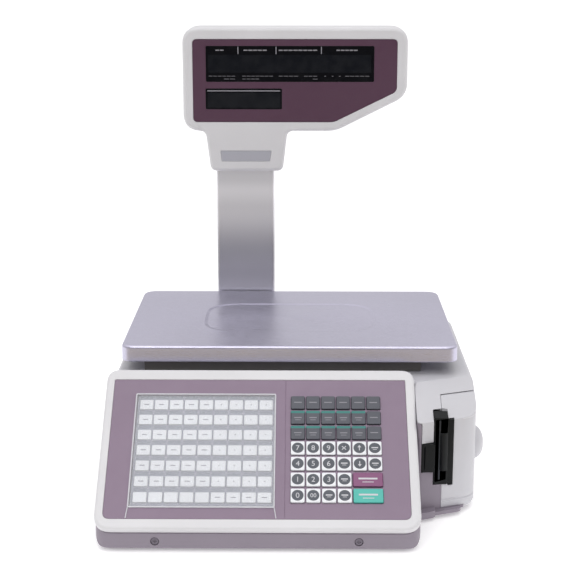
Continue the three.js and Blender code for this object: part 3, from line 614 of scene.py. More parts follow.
def lower_housing():
    region = join([box(-FAR, FAR, -FAR, FAR, -10, SPLIT_Z), mauve_strip(0)])
    pan = common(cut(body_shell(), [door_space(GAP)]), region)
    hollows = [
        console_wedge(WALL),
        prism(inset(BODY_PLAN, WALL), BASE_Z + WALL, FAR),
        box(-FAR, FAR, CONSOLE_BACK_Y - GAP, FAR, SPLIT_Z, FAR),
    ]
    wedge = cut(console_wedge(0), hollows)
    link = box(LEFT_X + 6, STEP_X - 6, -95, -80, BASE_Z + WALL, SPLIT_Z + 1)
    feet = FOOT_PLACES.values()
    screws = SCREW_PLACES.values()
    bosses = [rod(8, x, y, BASE_Z, 20) for x, y in feet]
    for x in screws:
        boss = rod(7, x, SCREW_Z, -SKIRT_Y - 10, -SKIRT_Y - 1, place=ALONG_Y)
        bosses.append(cut(boss, [box(-FAR, FAR, -FAR, FAR, -5, BASE_Z)]))
    bosses.append(rod(5, HINGE[0] - 2, HINGE[1] + 1, BASE_Z, DOOR["z0"] - 1))
    whole = join([cut(pan, [link]), wedge, plinth(), *bosses])
    x0, x1, z0, z1 = INLET
    s0, s1, t0, t1 = SWITCH
    tools = [rod(STUD_RADIUS + GAP, x, y, 0, 30) for x, y in feet]
    tools += [rod(PAD_RADIUS + 0.8, x, y, -1, 4.5) for x, y in feet]
    tools += [rod(4.6, x, SCREW_Z, -SKIRT_Y - 3.4, 240, place=ALONG_Y) for x in screws]
    tools += [rod(2.2, x, SCREW_Z, 210, 240, place=ALONG_Y) for x in screws]
    tools += [
        rod(PIN_RADIUS + GAP, *HINGE, BASE_Z + WALL, 20),
        outlet_space(0.4),
        box(x0 - GAP, x1 + GAP, REAR_Y - 10, REAR_Y + 5, z0 - GAP, z1 + GAP),
        box(s0, s1, REAR_Y - 10, REAR_Y + 5, t0, t1),
    ]
    return cut(whole, tools)


def upper_housing():
    region = cut(box(-FAR, FAR, -FAR, FAR, SPLIT_Z + GAP, FAR), [mauve_strip(GAP)])
    shell = common(cut(body_shell(), [door_space(GAP)]), region)
    crest = under_console(-80, UNDER_BEZEL + GAP)
    foot = under_console(CONSOLE_BACK_Y, UNDER_BEZEL + GAP)
    outline = [(CONSOLE_BACK_Y, TOP_Z - 2), (-70, TOP_Z - 2), (-77, crest), (-80, crest)]
    ridge = prism_x([*outline, (CONSOLE_BACK_Y, foot)], LEFT_X + 2, 125.8)
    pin_boss = rod(5, HINGE[0] - 2, HINGE[1], DOOR["z1"] + 0.8, TOP_Z - WALL + 0.5)
    pin_hole = rod(PIN_RADIUS + GAP, *HINGE, 100, TOP_Z - WALL - 1)
    post_hole = box(12, 68, 40, 88, TOP_Z - 10, TOP_Z + 5)
    return cut(join([shell, ridge, pin_boss]), [pin_hole, outlet_space(0.4), post_hole])


def printer_door():
    strip = OUTLET_BLOCKS[1]
    ledge = box(strip[0] + 2, strip[1] + 0.5, -165, -110, strip[2] - 2.2, strip[2] + 2)
    above = box(0, FAR, -FAR, FAR, DOOR["z1"] - 0.8, FAR)
    skin = cut(common(body_shell(), door_space(0)), [outlet_space(0.5), ledge, above])
    lip = [(2, -1), (2, DOOR["side_z"]), (0, DOOR["side_z"] + 4.5), (0, 16.6)]
    groove = [(0.9, 17.1), (0.9, 17.8), (0.35, 18.6), (0, 20.5), (0, FAR)]
    skin = common(skin, tapered(BODY_PLAN, lip + groove, segments=12))
    knuckles = []
    for z0, z1 in KNUCKLES:
        knuckles.append(rod(3.7, *HINGE, z0, z1))
        knuckles.append(box(HINGE[0] - 1, RIGHT_X - 0.5, HINGE[1] - 10, HINGE[1], z0, z1))
    return cut(join([skin, *knuckles]), [rod(PIN_RADIUS + GAP, *HINGE, 0, 200)])


piece(
    "lower_housing_shell", lower_housing(), housing_mauve, "housing_mauve", ["lower_housing"],
    bevel=0.5, clamp=True,
)
piece(
    "upper_housing_shell", upper_housing(), housing_light, "housing_light", ["upper_housing"],
    bevel=0.5,
)
piece(
    "printer_door_panel", printer_door(), housing_light, "housing_light", ["printer_door"],
    body="printer_door", bevel=0.3, clamp=True,
)


# ---- Feet and screws ----
def foot(x, y):
    """A round pad with a groove about its rim, on a stud."""
    rim = [(1, 0), (0.4, 0.3), (0, 1), (0, 1.3), (0.6, 1.6)]
    rim += [(0.6, 1.9), (0, 2.2), (0, 3), (0.4, 3.7), (1, 4)]
    pad = [(PAD_RADIUS - depth, z) for depth, z in rim]
    return turned([*pad, (STUD_RADIUS, 4), (STUD_RADIUS, 22)], x, y)


def front_screw(x):
    head = rod(4.2, x, SCREW_Z, -SKIRT_Y - 3, -SKIRT_Y - 0.7, place=ALONG_Y, rim=0.8)
    shank = rod(1.9, x, SCREW_Z, -SKIRT_Y - 16, -SKIRT_Y - 2, segments=20, place=ALONG_Y)
    y1 = SKIRT_Y + 1.7
    slots = [(2.2, 0.5), (0.5, 2.2)]
    tools = [box(x - w, x + w, -240, y1, SCREW_Z - h, SCREW_Z + h) for w, h in slots]
    return cut(join([head, shank]), tools)


for name, (x, y) in FOOT_PLACES.items():
    piece(name + "_pad", foot(x, y), rubber, "rubber", [name], body=name)
for name, x in SCREW_PLACES.items():
    piece(name + "_head", front_screw(x), screw_dark, "screw_dark", [name], bevel=0.1)

# ---- Console ----
BEZEL_LENGTH = 194.4
FASCIA = (-202.5, 118.5, -182.5, -12.5)
FASCIA_TOP = -0.5
FASCIA_BOTTOM = -2.7
ROWS = 7
HOTKEYS = {"columns": 9, "x": -165.3, "y": -44.1, "dx": 16.35, "dy": -18.8, "w": 14.6, "h": 12}
KEYS = {"columns": 6, "x": 0.2, "y": -42.4, "dx": 16.45, "dy": -18.85, "w": 14.8, "h": 16.2}
HOTKEY_WINDOW = (-176, -24.3, -168.2, -32)
KEY_TOP = 1.6
HOTKEY_TOP = -1.2
MAT_TOP = -4.6
MAT_BOTTOM = -5.6
CARD_TOP = MAT_TOP + 2.2
MARK = 0.06
# Each moving key: its column, row, width in columns and number.
MOVING_KEYS = {
    f"key_{first + column}": (column, row, 1, str(first + column))
    for row, first in ((3, 7), (4, 4), (5, 1))
    for column in range(3)
}
MOVING_KEYS["key_0"] = (0, 6, 1, "0")
MOVING_KEYS["key_print"] = (4, 5, 2, None)
MOVING_KEYS["key_confirm"] = (4, 6, 2, None)


def key_place(grid, column, row):
    return grid["x"] + grid["dx"] * column, grid["y"] + grid["dy"] * row


def key_outline(grid, column, row, grow=0, wide=1, radius=1.5):
    x, y = key_place(grid, column, row)
    right = x + grid["dx"] * (wide - 1)
    w = grid["w"] / 2 + grow
    h = grid["h"] / 2 + grow
    return rectangle(x - w, right + w, y - h, y + h, radius)


def key_cap(outline, z0, z1, edge=0.7):
    return prism(outline, z0, z1, top=edge, segments=4, steps=4)


def key_holes(grid, keys, grow, radius, z0=-5):
    """Tools that cut a sheet clear of (column, row, width) keys."""
    outlines = [key_outline(grid, c, r, grow, wide, radius) for c, r, wide in keys]
    return [prism(outline, z0, 5, segments=4) for outline in outlines]


def merged(shapes):
    """One object from several separate shapes."""
    bm = bmesh.new()
    for shape in shapes:
        bm.from_mesh(shape.data)
        bpy.data.objects.remove(shape)
    mesh = bpy.data.meshes.new("shape")
    bm.to_mesh(mesh)
    bm.free()
    return new_object(mesh)


def key_is_moving(column, row):
    return any(r == row and c <= column < c + wide for c, r, wide, _ in MOVING_KEYS.values())


def cells(grid):
    return [(c, r) for r in range(ROWS) for c in range(grid["columns"])]


def console_piece(name, shape, *looks, **options):
    piece(name, placed(shape, CONSOLE), *looks, **options)


def console_bezel():
    rim = rectangle(-211.5, 128.8, -BEZEL_LENGTH, 1.3, 19, 15)
    seat = rectangle(*FASCIA, 8, 1.5)
    plate = prism(rim, -8, 0, top=3.4, bottom=0.8, segments=14, steps=7)
    window = prism(inset(seat, 4), -20, 5, segments=6)
    return cut(plate, [prism(seat, FASCIA_BOTTOM - GAP, 5), window])


def keyboard_fascia():
    plate = prism(inset(rectangle(*FASCIA, 8, 1.5), 0.25), FASCIA_BOTTOM, FASCIA_TOP)
    keys = [(c, r, 1) for c, r in cells(KEYS) if not key_is_moving(c, r)]
    keys += [key[:3] for key in MOVING_KEYS.values()]
    groove = box(-13.4, -12.9, -190, -5, FASCIA_TOP - 0.4, 5)
    return cut(plate, [box(*HOTKEY_WINDOW, -5, 5), *key_holes(KEYS, keys, 0.35, 1.7), groove])


def mat_sheet(grid, margin):
    x, y = key_place(grid, grid["columns"] - 1, ROWS - 1)
    side = grid["w"] / 2 + margin
    end = grid["h"] / 2 + margin
    return box(grid["x"] - side, x + side, y - end, grid["y"] + end, MAT_BOTTOM, MAT_TOP)


def flat_mark(x, y, w, h, z, radius=0):
    outline = rectangle(x - w / 2, x + w / 2, y - h / 2, y + h / 2, radius)
    return prism(outline, z, z + MARK, segments=3)


def bar_marks(x, y, z, bars, radius=0.2):
    """A key's words as plain bars, given as (offset, width, height)."""
    return [flat_mark(x, y + offset, w, h, z, radius) for offset, w, h in bars]


def disc(x, y):
    return rod(6.3, x, y, KEY_TOP - 0.03, KEY_TOP - 0.03 + MARK, segments=40)


def digits(text, x, y, z, size=8.6):
    """Numbers as thin solid shapes centred on a point."""
    font = bpy.data.curves.new("digits", "FONT")
    font.body = text
    font.size = size
    font.extrude = 0.04
    font.align_x = "CENTER"
    font.align_y = "CENTER"
    font.resolution_u = 4
    holder = new_object(font, "digits")
    mesh = evaluated_mesh(holder)
    bpy.data.objects.remove(holder)
    xs = [v.co.x for v in mesh.vertices]
    ys = [v.co.y for v in mesh.vertices]
    middle = Vector(((min(xs) + max(xs)) / 2, (min(ys) + max(ys)) / 2, 0))
    mesh.transform(Matrix.Translation(Vector((x, y, z)) - middle))
    return new_object(mesh)


def arrow(x, y, z, up):
    sign = 1 if up else -1
    stem = box(x - 0.45, x + 0.45, y - 3, y + 3, z, z + MARK)
    tip = [(x - 2, y + sign * 0.8), (x + 2, y + sign * 0.8), (x, y + sign * 3.6)]
    if not up:
        tip.reverse()
    return merged([stem, prism(tip, z, z + 0.07)])


def cross(x, y, z):
    bars = []
    for angle in (45, -45):
        bar = flat_mark(0, 0, 6, 0.9, z)
        turn = Matrix.Translation((x, y, 0)) @ Matrix.Rotation(math.radians(angle), 4, "Z")
        bars.append(placed(bar, turn))
    return merged(bars)


console_piece(
    "console_bezel_rim", console_bezel(), bezel_white, "bezel_white", ["console_bezel"], bevel=0.7
)
console_piece(
    "keyboard_fascia_film", keyboard_fascia(), fascia_film, "housing_mauve", ["keyboard_fascia"],
    bevel=0.15, segments=2,
)

hot_caps, fields, hot_marks = [], [], []
for c, r in cells(HOTKEYS):
    x, y = key_place(HOTKEYS, c, r)
    hot_caps.append(key_cap(key_outline(HOTKEYS, c, r, radius=1.2), MAT_BOTTOM, HOTKEY_TOP, 0.6))
    fields.append(flat_mark(x, y + 9.4, 13.8, 4, CARD_TOP, 0.4))
    if r < ROWS - 1 or c >= 5:
        wide = 5.6 if c < 5 or r == ROWS - 1 else 1.5
        hot_marks.append(flat_mark(x, y, wide, 1.3, HOTKEY_TOP, 0.2))
hot_mat = merged([mat_sheet(HOTKEYS, 3), *hot_caps])
console_piece("hotkey_mat_caps", hot_mat, key_white, "white_key", ["hotkey_mat"])
x0, x1, y0, y1 = HOTKEY_WINDOW
card = cut(
    box(x0 + 1, x1 - 1, y0 + 1, y1 - 1, MAT_TOP + GAP, CARD_TOP),
    key_holes(HOTKEYS, [(c, r, 1) for c, r in cells(HOTKEYS)], 0.3, 1.4, -9),
)
console_piece("hotkey_card", card, label_card, "label_card", ["hotkey_label_card"])
console_piece("hotkey_card_fields", merged(fields), card_field, "label_card")
console_piece("hotkey_marks", merged(hot_marks), print_grey, "label_card")

sheet = rectangle(-177, -24.6, -168.8, -31.2, 1.5)
cover = prism(sheet, FASCIA_TOP + 0.3, 0.5, top=0.3, segments=4)
console_piece("hotkey_cover_sheet", cover, clear, "clear_cover", ["hotkey_cover"])
edge = rectangle(-177.6, -23.6, -169.6, -30.8, 2)
ring = cut(
    prism(edge, FASCIA_TOP + 0.05, 0.75, top=0.3, segments=4),
    [prism(rectangle(-176.2, -25, -168.2, -32.2, 1), -3, 3, segments=3)],
)
tabs = [
    prism([(-178.9, -181.6), (-177.9, -181.6), (-176.4, -168.6), (-177.4, -168.6)], -0.4, 0.6),
    prism([(-22.6, -181.6), (-21.6, -181.6), (-23.8, -168.6), (-24.8, -168.6)], -0.4, 0.6),
]
console_piece("hotkey_cover_edge", merged([ring, *tabs]), clear_edge, "clear_cover", bevel=0.15)

dark_caps, white_caps, bands, discs, light_marks, dark_marks = [], [], [], [], [], []
MARK_Z = KEY_TOP + 0.01
for c, r in cells(KEYS):
    if key_is_moving(c, r):
        continue
    x, y = key_place(KEYS, c, r)
    cap = key_cap(key_outline(KEYS, c, r), MAT_BOTTOM, KEY_TOP)
    if r > 2:
        white_caps.append(cap)
        discs.append(disc(x, y))
        if (c, r) == (3, 3):
            light_marks.append(cross(x, y, MARK_Z))
        elif c == 4 and r in (3, 4):
            light_marks.append(arrow(x, y, MARK_Z, r == 3))
        elif (c, r) == (1, 6):
            light_marks.append(digits("00", x, y, MARK_Z, 6.6))
        else:
            light_marks += bar_marks(x, y, MARK_Z, [(0.4, 7, 1.3), (-1.8, 4.4, 0.6)])
        continue
    dark_caps.append(cap)
    if r > 0 and c < 5:
        band = rectangle(x - 7.5, x + 7.5, y + 5, y + 8.2, 0.8)
        bands.append(key_cap(band, KEY_TOP - 1.6, KEY_TOP + 0.06, 0.3))
        dark_marks += bar_marks(x, y, MARK_Z, [(-0.4, 8, 1), (-3.2, 6, 0.6)])
    else:
        dark_marks.append(flat_mark(x, y, 8.4, 1, MARK_Z, 0.2))
key_mat = merged([mat_sheet(KEYS, 1.5), *dark_caps])
console_piece("function_key_mat_caps", key_mat, key_dark, "dark_key", ["function_key_mat"])
console_piece("function_keys_white", merged(white_caps), key_white, "white_key")
console_piece("function_key_bands", merged(bands), key_band, "teal_key")
console_piece("function_key_discs", merged(discs), key_disc, "dark_key")
console_piece("function_key_marks", merged(light_marks), print_white, "white_key")
console_piece("dark_key_marks", merged(dark_marks), print_grey, "label_card")

KEY_PAINTS = {"key_print": (key_magenta, "magenta_key"), "key_confirm": (key_teal, "teal_key")}
for name, (c, r, wide, legend) in MOVING_KEYS.items():
    x, y = key_place(KEYS, c, r)
    paint, slot = KEY_PAINTS.get(name, (key_white, "white_key"))
    cap = key_cap(key_outline(KEYS, c, r, wide=wide), -3.2, KEY_TOP)
    console_piece(name + "_cap", cap, paint, slot, [name], body=name)
    if legend:
        console_piece(name + "_disc", disc(x, y), key_disc, "dark_key", body=name)
        mark = digits(legend, x, y, MARK_Z)
    else:
        middle = x + KEYS["dx"] * (wide - 1) / 2
        mark = merged(bar_marks(middle, y, KEY_TOP, [(1, 20, 2), (-3, 12, 0.8)], 0.3))
    console_piece(name + "_legend", mark, print_white, slot, body=name)

# ---- Weighing platform ----
PLATTER = (-200, 180.8, -64, 192)
PLATTER_TOP = 173
PLATTER_LIP = 154.7
SHEET = 1.5


def platter():
    """A pressed tray: rolled hem, upright lip, rounded rim and a shallow pressed panel."""
    rim = rectangle(*PLATTER, 15, 18)
    panel = rectangle(-112, 92, -1, 126, 44)
    under = PLATTER_TOP - SHEET
    below = [(panel, 6, under - 0.9), (panel, 0, under), (rim, 6, under)]
    inside = [(1.9, under - 0.1), (0.6, under - 0.8), (0, under - 2.4)]
    inside += [(d, PLATTER_LIP + up) for d, up in ((0, 1.6), (0.5, 1.2), (0.6, 0.5))]
    below += [(rim, SHEET + distance, z) for distance, z in inside]
    hem = [(SHEET, 0), (0.5, 0), (0, 0.5), (0, 1.3), (0.2, 1.6)]
    below += [(rim, distance, PLATTER_LIP + up) for distance, up in hem]
    radius = 3.2
    turns = [math.pi / 2 * step / 7 for step in range(8)]
    edge = [(0.2 + radius * (1 - math.cos(t)), radius * (1 - math.sin(t))) for t in turns]
    pressed = [(-1.2, 0), (0, 0.1), (1.4, 0.45), (2.8, 0.8), (4, 0.9)]
    above = [(rim, distance, PLATTER_TOP - down) for distance, down in [*edge, (6, 0)]]
    above += [(panel, distance, PLATTER_TOP - down) for distance, down in pressed]
    return loft([level(inset(outline, depth), z, 14) for outline, depth, z in below + above])


piece("platter_tray", platter(), steel, "stainless", ["platter"], body="platter")
dress("platter_support", dark_sheet, 0.6)
dress("load_cell", aluminium, 0.5)
dress("load_cell_base", aluminium, 0.8)
dress("base_frame", zinc, 0.4)

# ---- Pole and display head ----
POLE = (-105.3, -31.3, 198, 226)
HEAD_FRONT, HEAD_SPLIT, HEAD_BACK, HEAD_WALL = 186, 209, 234, 2.5
NECK = [(-118, 382, 8), (-111.5, 331, 8), (-20.2, 331, 8), (-14.3, 382, 8)]
HEAD_SHAPE = [
    (-145.6, 382, 22),
    *NECK,
    (46.5, 382, 10),
    (136, 426.5, 16),
    (136, 511.3, 21),
    (-145.6, 511.3, 21),
]
FASCIA_SHAPE = [
    (-133.1, 393.4, 6),
    (44.3, 393.4, 5),
    (122.9, 432, 6),
    (122.9, 497, 6),
    (-133.1, 497, 6),
]
MAIN_WINDOW = (-116.4, 94, 444, 488.5)
SUB_WINDOW = (-117.1, -21.2, 409.7, 435.8)
LABEL_PLATE = [(-97.5, 343.6, 1), (-36.5, 343.6, 1), (-34.5, 357.3, 1), (-99.2, 357.3, 1)]


def pole_hole():
    x0, x1, y0, y1 = POLE
    return box(x0 - 0.6, x1 + 0.6, y0 - 0.6, y1 + 0.6, 300, 360)


def window(size, y0, y1, grow=0):
    x0, x1, z0, z1 = size
    return prism_y(rectangle(x0 - grow, x1 + grow, z0 - grow, z1 + grow, 1.8), y0, y1, segments=5)


def head_front():
    shell = prism_y(HEAD_SHAPE, HEAD_FRONT, HEAD_SPLIT, front=5, segments=14, steps=8)
    inside = prism_y(inset(HEAD_SHAPE, HEAD_WALL), HEAD_FRONT + HEAD_WALL, HEAD_SPLIT + 20)
    tools = [
        prism_y(FASCIA_SHAPE, HEAD_FRONT - 5, HEAD_FRONT + 1.5),
        window(MAIN_WINDOW, 150, HEAD_FRONT + 10, 0.1),
        window(SUB_WINDOW, 150, HEAD_FRONT + 10, 0.1),
        prism_y(LABEL_PLATE, HEAD_FRONT - 5, HEAD_FRONT + 1.2),
        pole_hole(),
    ]
    return cut(cut(shell, [inside]), tools)


def head_rear():
    outline = [(-x, z, r) for x, z, r in reversed(HEAD_SHAPE)]
    shell = prism_y(outline, -HEAD_BACK, -HEAD_SPLIT - GAP, front=5, segments=14, steps=8)
    tools = [
        prism_y(inset(HEAD_SHAPE, HEAD_WALL), HEAD_SPLIT - 20, HEAD_BACK - HEAD_WALL),
        prism_y(FASCIA_SHAPE, HEAD_BACK - 1.5, HEAD_BACK + 5),
        pole_hole(),
    ]
    return cut(placed(shell, Matrix.Rotation(math.pi, 4, "Z")), tools)


def head_fascia(y0, y1, windows):
    panel = prism_y(inset(FASCIA_SHAPE, GAP), y0, y1)
    return cut(panel, [window(size, y0 - 5, y1 + 5) for size in windows])


def pole_bracket():
    x0, x1, y0, y1 = POLE
    block = rectangle(x0 - 13, x1 + 13, REAR_Y + 0.4, y1 + 6, 5)
    socket = rectangle(x0 - GAP, x1 + GAP, y0 - GAP, y1 + GAP, 3.5)
    return cut(prism(block, BASE_Z + 2, 70, top=2.5, bottom=1), [prism(socket, 23.7, 100)])


tube = prism(rectangle(*POLE, 4), 24, 470, segments=8)
bore = prism(inset(rectangle(*POLE, 4), 2.5), 23, 471, segments=6)
piece("pole_tube", cut(tube, [bore]), steel_pole, "pole_paint", ["pole"], bevel=0.3)
bracket = pole_bracket()
piece("pole_bracket_block", bracket, housing_light, "housing_light", ["pole_bracket"], bevel=0.6)
shell = head_front()
piece("head_front_shell", shell, bezel_white, "bezel_white", ["head_front_housing"], bevel=0.5)
piece("head_rear_shell", head_rear(), bezel_white, "bezel_white", ["head_rear_cover"], bevel=0.5)
for node, y0, windows in (
    ("head_fascia", HEAD_FRONT + 0.3, [MAIN_WINDOW, SUB_WINDOW]),
    ("rear_fascia", HEAD_BACK - 1.2, [MAIN_WINDOW]),
):
    panel = head_fascia(y0, y0 + 0.9, windows)
    piece(node + "_panel", panel, head_panel, "dark_panel", [node], bevel=0.15)
for name in ("main_display_window", "sub_display_window", "rear_display_window"):
    dress(name, window_glass, 0.1)
dress("display_circuit_board", board_green, 0.1)
dress("head_label_plate", plate_grey, 0.1)


def on_display(outline, sunk=0.06, proud=0.2, **options):
    """A thin print, film or painted reflection on the front of the display windows."""
    glass = HEAD_FRONT + 0.4
    return prism_y(outline, glass - sunk, glass + proud, **options)


def display_piece(name, shape, paint):
    piece(name, shape, paint, "display_window")


LCDS = {"main": (-113.5, 90, 455.5, 477.5), "sub": (-114.5, -23.5, 411.8, 430.5)}
for name, size in LCDS.items():
    lcd = on_display(rectangle(*size, 1), 0.05, 0.3)
    display_piece(name + "_display_lcd", lcd, window_lcd)
# The three dividers between the main display's headings are print; the long strip near the top of
# the sub display is a painted reflection.
dividers_and_reflection_strip = [on_display(rectangle(x - 0.5, x + 0.5, 478.5, 487.5)) for x in (-76, -28.5, 28)]
dividers_and_reflection_strip.append(on_display(rectangle(-115, -23.5, 432.2, 433.4)))
display_piece("display_dividers_and_reflection", merged(dividers_and_reflection_strip), print_grey)


def word_bars(spans, z, height):
    """Captions as plain bars, each span broken into short dashes."""
    bars = []
    for x0, x1 in spans:
        count = max(1, round((x1 - x0) / 6))
        pitch = (x1 - x0) / count
        for i in range(count):
            left = x0 + pitch * i
            outline = rectangle(left, left + pitch - 0.9, z - height / 2, z + height / 2, 0.3)
            bars.append(on_display(outline, segments=2))
    return bars


HEADINGS = [(-104, -93), (-69, -39.2), (-25.2, 23.7), (46.8, 74)]
UPPER_CAPTIONS = [(-113, -78.7), (-70.8, -31.6), (-25.2, 0.2), (6.4, 23.7)]
UPPER_CAPTIONS += [(31.8, 35), (41, 44.2), (50, 53.2), (57.9, 89)]
LOWER_CAPTIONS = [(-93.9, -78.9), (-70.8, -48.9), (17.3, 24.4)]
display_piece("display_headings", merged(word_bars(HEADINGS, 483.2, 1.5)), caption_grey)
captions = word_bars(UPPER_CAPTIONS, 451.2, 0.8) + word_bars(LOWER_CAPTIONS, 447.6, 0.8)
display_piece("display_captions", merged(captions), caption_dim)

# ---- Label printer ----
def door_handle():
    """A domed turn knob with its axis along X."""
    radius, collar = 19.5, 1.2
    height = 211.5 - RIGHT_X - GAP
    profile = [(radius, 0), (radius, collar)]
    for step in range(1, 12):
        turn = math.pi / 2 * step / 12
        rise = (height - collar) * math.sin(turn)
        profile.append((radius * math.cos(turn) ** 0.85, collar + rise))
    profile.append((1.2, height))
    dome = turned(profile, 0, 0, segments=64)
    return placed(dome, Matrix.Translation((RIGHT_X + GAP, -62, 60)) @ ALONG_X)


def label_outlet():
    """Three joined blocks with the label slot, a slanting top and two fine grooves."""
    depths = [(-137.5, -125), (-133, -126), (-145, -130)]
    blocks = [
        box(x0, x1, *depth, z0, z1) for (x0, x1, z0, z1), depth in zip(OUTLET_BLOCKS, depths)
    ]
    slot = box(*SLOT[:2], -160, -100, *SLOT[2:])
    slant = prism_x([(-140, 113.6), (-120, 120.2), (-120, 126), (-140, 126)], 140, 175)
    grooves = [box(137.2, 138, -146, -144.2, 58, 84), box(150.2, 150.8, -138, -137, 41, 112)]
    return cut(join(blocks), [slot, slant, *grooves])


def guide_plate():
    """A curved plate that stands in front of the middle of the slot, on two feet beside it."""
    steps = [i / 12 for i in range(13)]
    front = [(154.9 + 8 * t, -139.2 - 2.6 * math.sin(math.pi * (0.15 + 0.8 * t))) for t in steps]
    back = [(x, y + 1.2) for x, y in reversed(front)]
    plate = prism(front + back, 55, 98.4)
    feet = [box(161.7, 162.7, -139.4, -136.5, z - 2, z + 2) for z in (60, 93)]
    return join([plate, *feet])


def crease_bead():
    """A fine raised line along the fold of the door face, from the outlet round to the side."""
    points = ring_of(inset(BODY_PLAN, -0.15), 12)
    inside = ring_of(inset(BODY_PLAN, 1), 12)
    keep = [i for i, p in enumerate(points) if p.x > 171 and p.y < 12]
    outer = [(points[i].x, points[i].y) for i in keep]
    inner = [(inside[i].x, inside[i].y) for i in reversed(keep)]
    return prism(outer + inner, SHOULDER_Z - 1, SHOULDER_Z - 0.2)


knob = door_handle()
piece("door_handle_knob", knob, housing_light, "housing_light", ["door_handle"], "door_handle")
outlet = label_outlet()
piece("label_outlet_frame", outlet, black_plastic, "black_plastic", ["label_outlet"], bevel=0.5)
# A thin near-black sheet lines the slot's walls, darker than the frame: painted shade inside the
# slot.
x0, x1, z0, z1 = SLOT
wall = 0.4
hole = box(x0 + wall, x1 - wall, -140, -120, z0 + wall, z1 - wall)
slot_shade_lining = cut(box(x0, x1, -137.3, -126, z0, z1), [hole])
piece("label_slot_shade_lining", slot_shade_lining, slot_painted_shade, "black_plastic")
dress("tear_bar", tear_steel, 0.15)
piece("label_guide_plate", guide_plate(), black_plastic, "black_plastic", bevel=0.25)
# The raised line along the door's fold is drawn in the lighter bezel white, not the door's grey: a
# painted highlight on the fold.
bead = crease_bead()
piece("door_crease_painted_highlight", bead, bezel_white, "housing_light", body="printer_door", bevel=0.1)
dress("door_hinge_pin", steel, 0.1)
dress("mechanism_frame", zinc, 0.2)
dress("print_head", aluminium, 0.3)
dress("platen_gear", gear_plastic, 0.08, segments=1)
dress("motor_pinion", aluminium, 0.08, segments=1)
dress("feed_motor", zinc, 0.3)
profile = [(1.7, 31.6), (2, 31.9), (2, 42), (5.6, 42), (6, 42.4)]
profile += [(6, 107.6), (5.6, 108), (2, 108), (2, 111.5), (1.7, 111.8)]
roller = turned(profile, 160.5, -113)
piece("platen_roller_sleeve", roller, rubber, "rubber", ["platen_roller"], body="platen")
profile = [(13, 46), (41.2, 46), (41.8, 46.3), (42, 47)]
profile += [(42, 105), (41.8, 105.7), (41.2, 106), (13, 106)]
roll = turned(profile, 146, -34, segments=96, closed=True)
piece("label_roll_paper", roll, paper, "paper", ["label_roll"], body="label_roll")
dress("roll_spindle", black_plastic, 0.3)
dress("rewind_spool", black_plastic, 0.3)

# ---- Electronics ----
dress("main_board", board_green, 0.1)
dress("power_supply", aluminium, 0.8)
dress("power_inlet", black_plastic, 0.25)
dress("power_switch", black_deep, 0.25)

# ---- Floor, light and camera ----
# The camera meets a plain white floor and background. What the object reflects is a table:
# glowing white under the object, warm grey before it, then pale, and dark far in front.
floor_mesh = bpy.data.meshes.new("floor")
corners = [(-40, -40, 0), (40, -40, 0), (40, 80, 0), (-40, 80, 0)]
floor_mesh.from_pydata(corners, [], [(0, 1, 2, 3)])
floor = new_object(floor_mesh, "floor")
FLOOR_WHITE = (250, 250, 250)
GLOW_END_Y, GLOW_FULL_Y = -0.42, -0.3
FLOOR_TONES = [
    (-3.2, (45, 45, 46)),
    (-2.4, (228, 228, 230)),
    (-1.1, (228, 228, 230)),
    (-0.7, (188, 177, 152)),
    (GLOW_END_Y, (188, 177, 152)),
    (GLOW_FULL_Y, FLOOR_WHITE),
]
paint = Paint("floor", FLOOR_WHITE, 0.6)
y = split_axes(paint.tree, paint.place)["Y"]
seen = paint.node("LightPath").outputs["Is Camera Ray"]
tint = paint.node("Mix")
tint.data_type = "RGBA"
tint.inputs[7].default_value = linear(*FLOOR_WHITE)
paint.link(seen, tint.inputs[0])
paint.link(tone_ramp(paint.tree, y, -4, 0, FLOOR_TONES), tint.inputs[6])
paint.link(tint.outputs[2], "Base Color")
glow = paint.node("Math")
glow.operation = "MAXIMUM"
paint.link(map_range(paint.tree, y, 0, 0.3, GLOW_END_Y, GLOW_FULL_Y), glow.inputs[0])
paint.link(map_range(paint.tree, seen, 0, 0.3, 0, 1), glow.inputs[1])
paint.link(glow.outputs["Value"], "Emission Strength")
paint.set(Emission_Color=(1, 1, 1, 1))
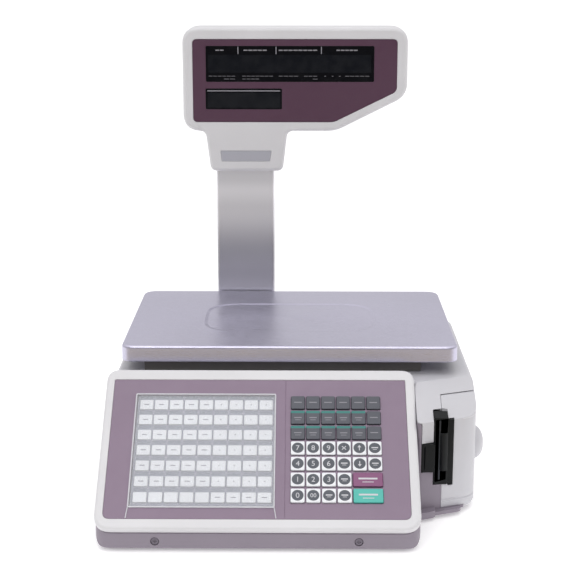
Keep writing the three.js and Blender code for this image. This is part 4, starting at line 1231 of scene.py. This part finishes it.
floor_mesh.materials.append(paint.material)

# The surroundings are darker in front and lighter above; the camera sees plain white instead.
world = bpy.data.worlds.new("studio")
bpy.context.scene.world = world
world.use_nodes = True
tree = world.node_tree
studio = tree.nodes["Background"]
studio.inputs["Color"].default_value = (1, 0.995, 1, 1)
axes = split_axes(tree, tree.nodes.new("ShaderNodeTexCoord").outputs["Generated"])
total = tree.nodes.new("ShaderNodeMath")
total.operation = "ADD"
tree.links.new(map_range(tree, axes["Y"], 0.12, 0.62, -1, -0.2), total.inputs[0])
tree.links.new(map_range(tree, axes["Z"], 0, 0.45, 0, 0.9), total.inputs[1])
tree.links.new(total.outputs["Value"], studio.inputs["Strength"])
backdrop = tree.nodes.new("ShaderNodeBackground")
backdrop.inputs["Color"].default_value = (1, 1, 1, 1)
choose = tree.nodes.new("ShaderNodeMixShader")
seen = tree.nodes.new("ShaderNodeLightPath").outputs["Is Camera Ray"]
for output, target in zip((seen, studio.outputs[0], backdrop.outputs[0]), choose.inputs):
    tree.links.new(output, target)
tree.links.new(choose.outputs[0], tree.nodes["World Output"].inputs["Surface"])


def pointed(data, name, place, direction):
    """A light or camera at a place, looking along a direction."""
    holder = new_object(data, name)
    holder.location = place
    holder.rotation_mode = "QUATERNION"
    holder.rotation_quaternion = direction.to_track_quat("-Z", "Y")
    return holder


def soft_light(name, place, aim, size, power):
    light = bpy.data.lights.new(name, "AREA")
    light.shape = "RECTANGLE"
    light.size, light.size_y = size
    light.energy = power
    pointed(light, name, place, Vector(aim) - Vector(place))


soft_light("key_light", (-0.3, -0.7, 2.7), (0, 0, 0.2), (2, 1.6), 10)
soft_light("front_light", (0, -2.1, 1.9), (0, 0, 0.3), (2.4, 1), 15)

camera = bpy.data.cameras.new("camera")
camera.lens = 86.36
camera.sensor_width = 36
camera.clip_end = 100
bpy.context.scene.camera = pointed(
    camera, "camera", (0.0031, -1.5546, 0.6149), Vector((-0.0093, 0.9699, -0.2434))
)
bpy.context.scene.view_settings.view_transform = "Standard"
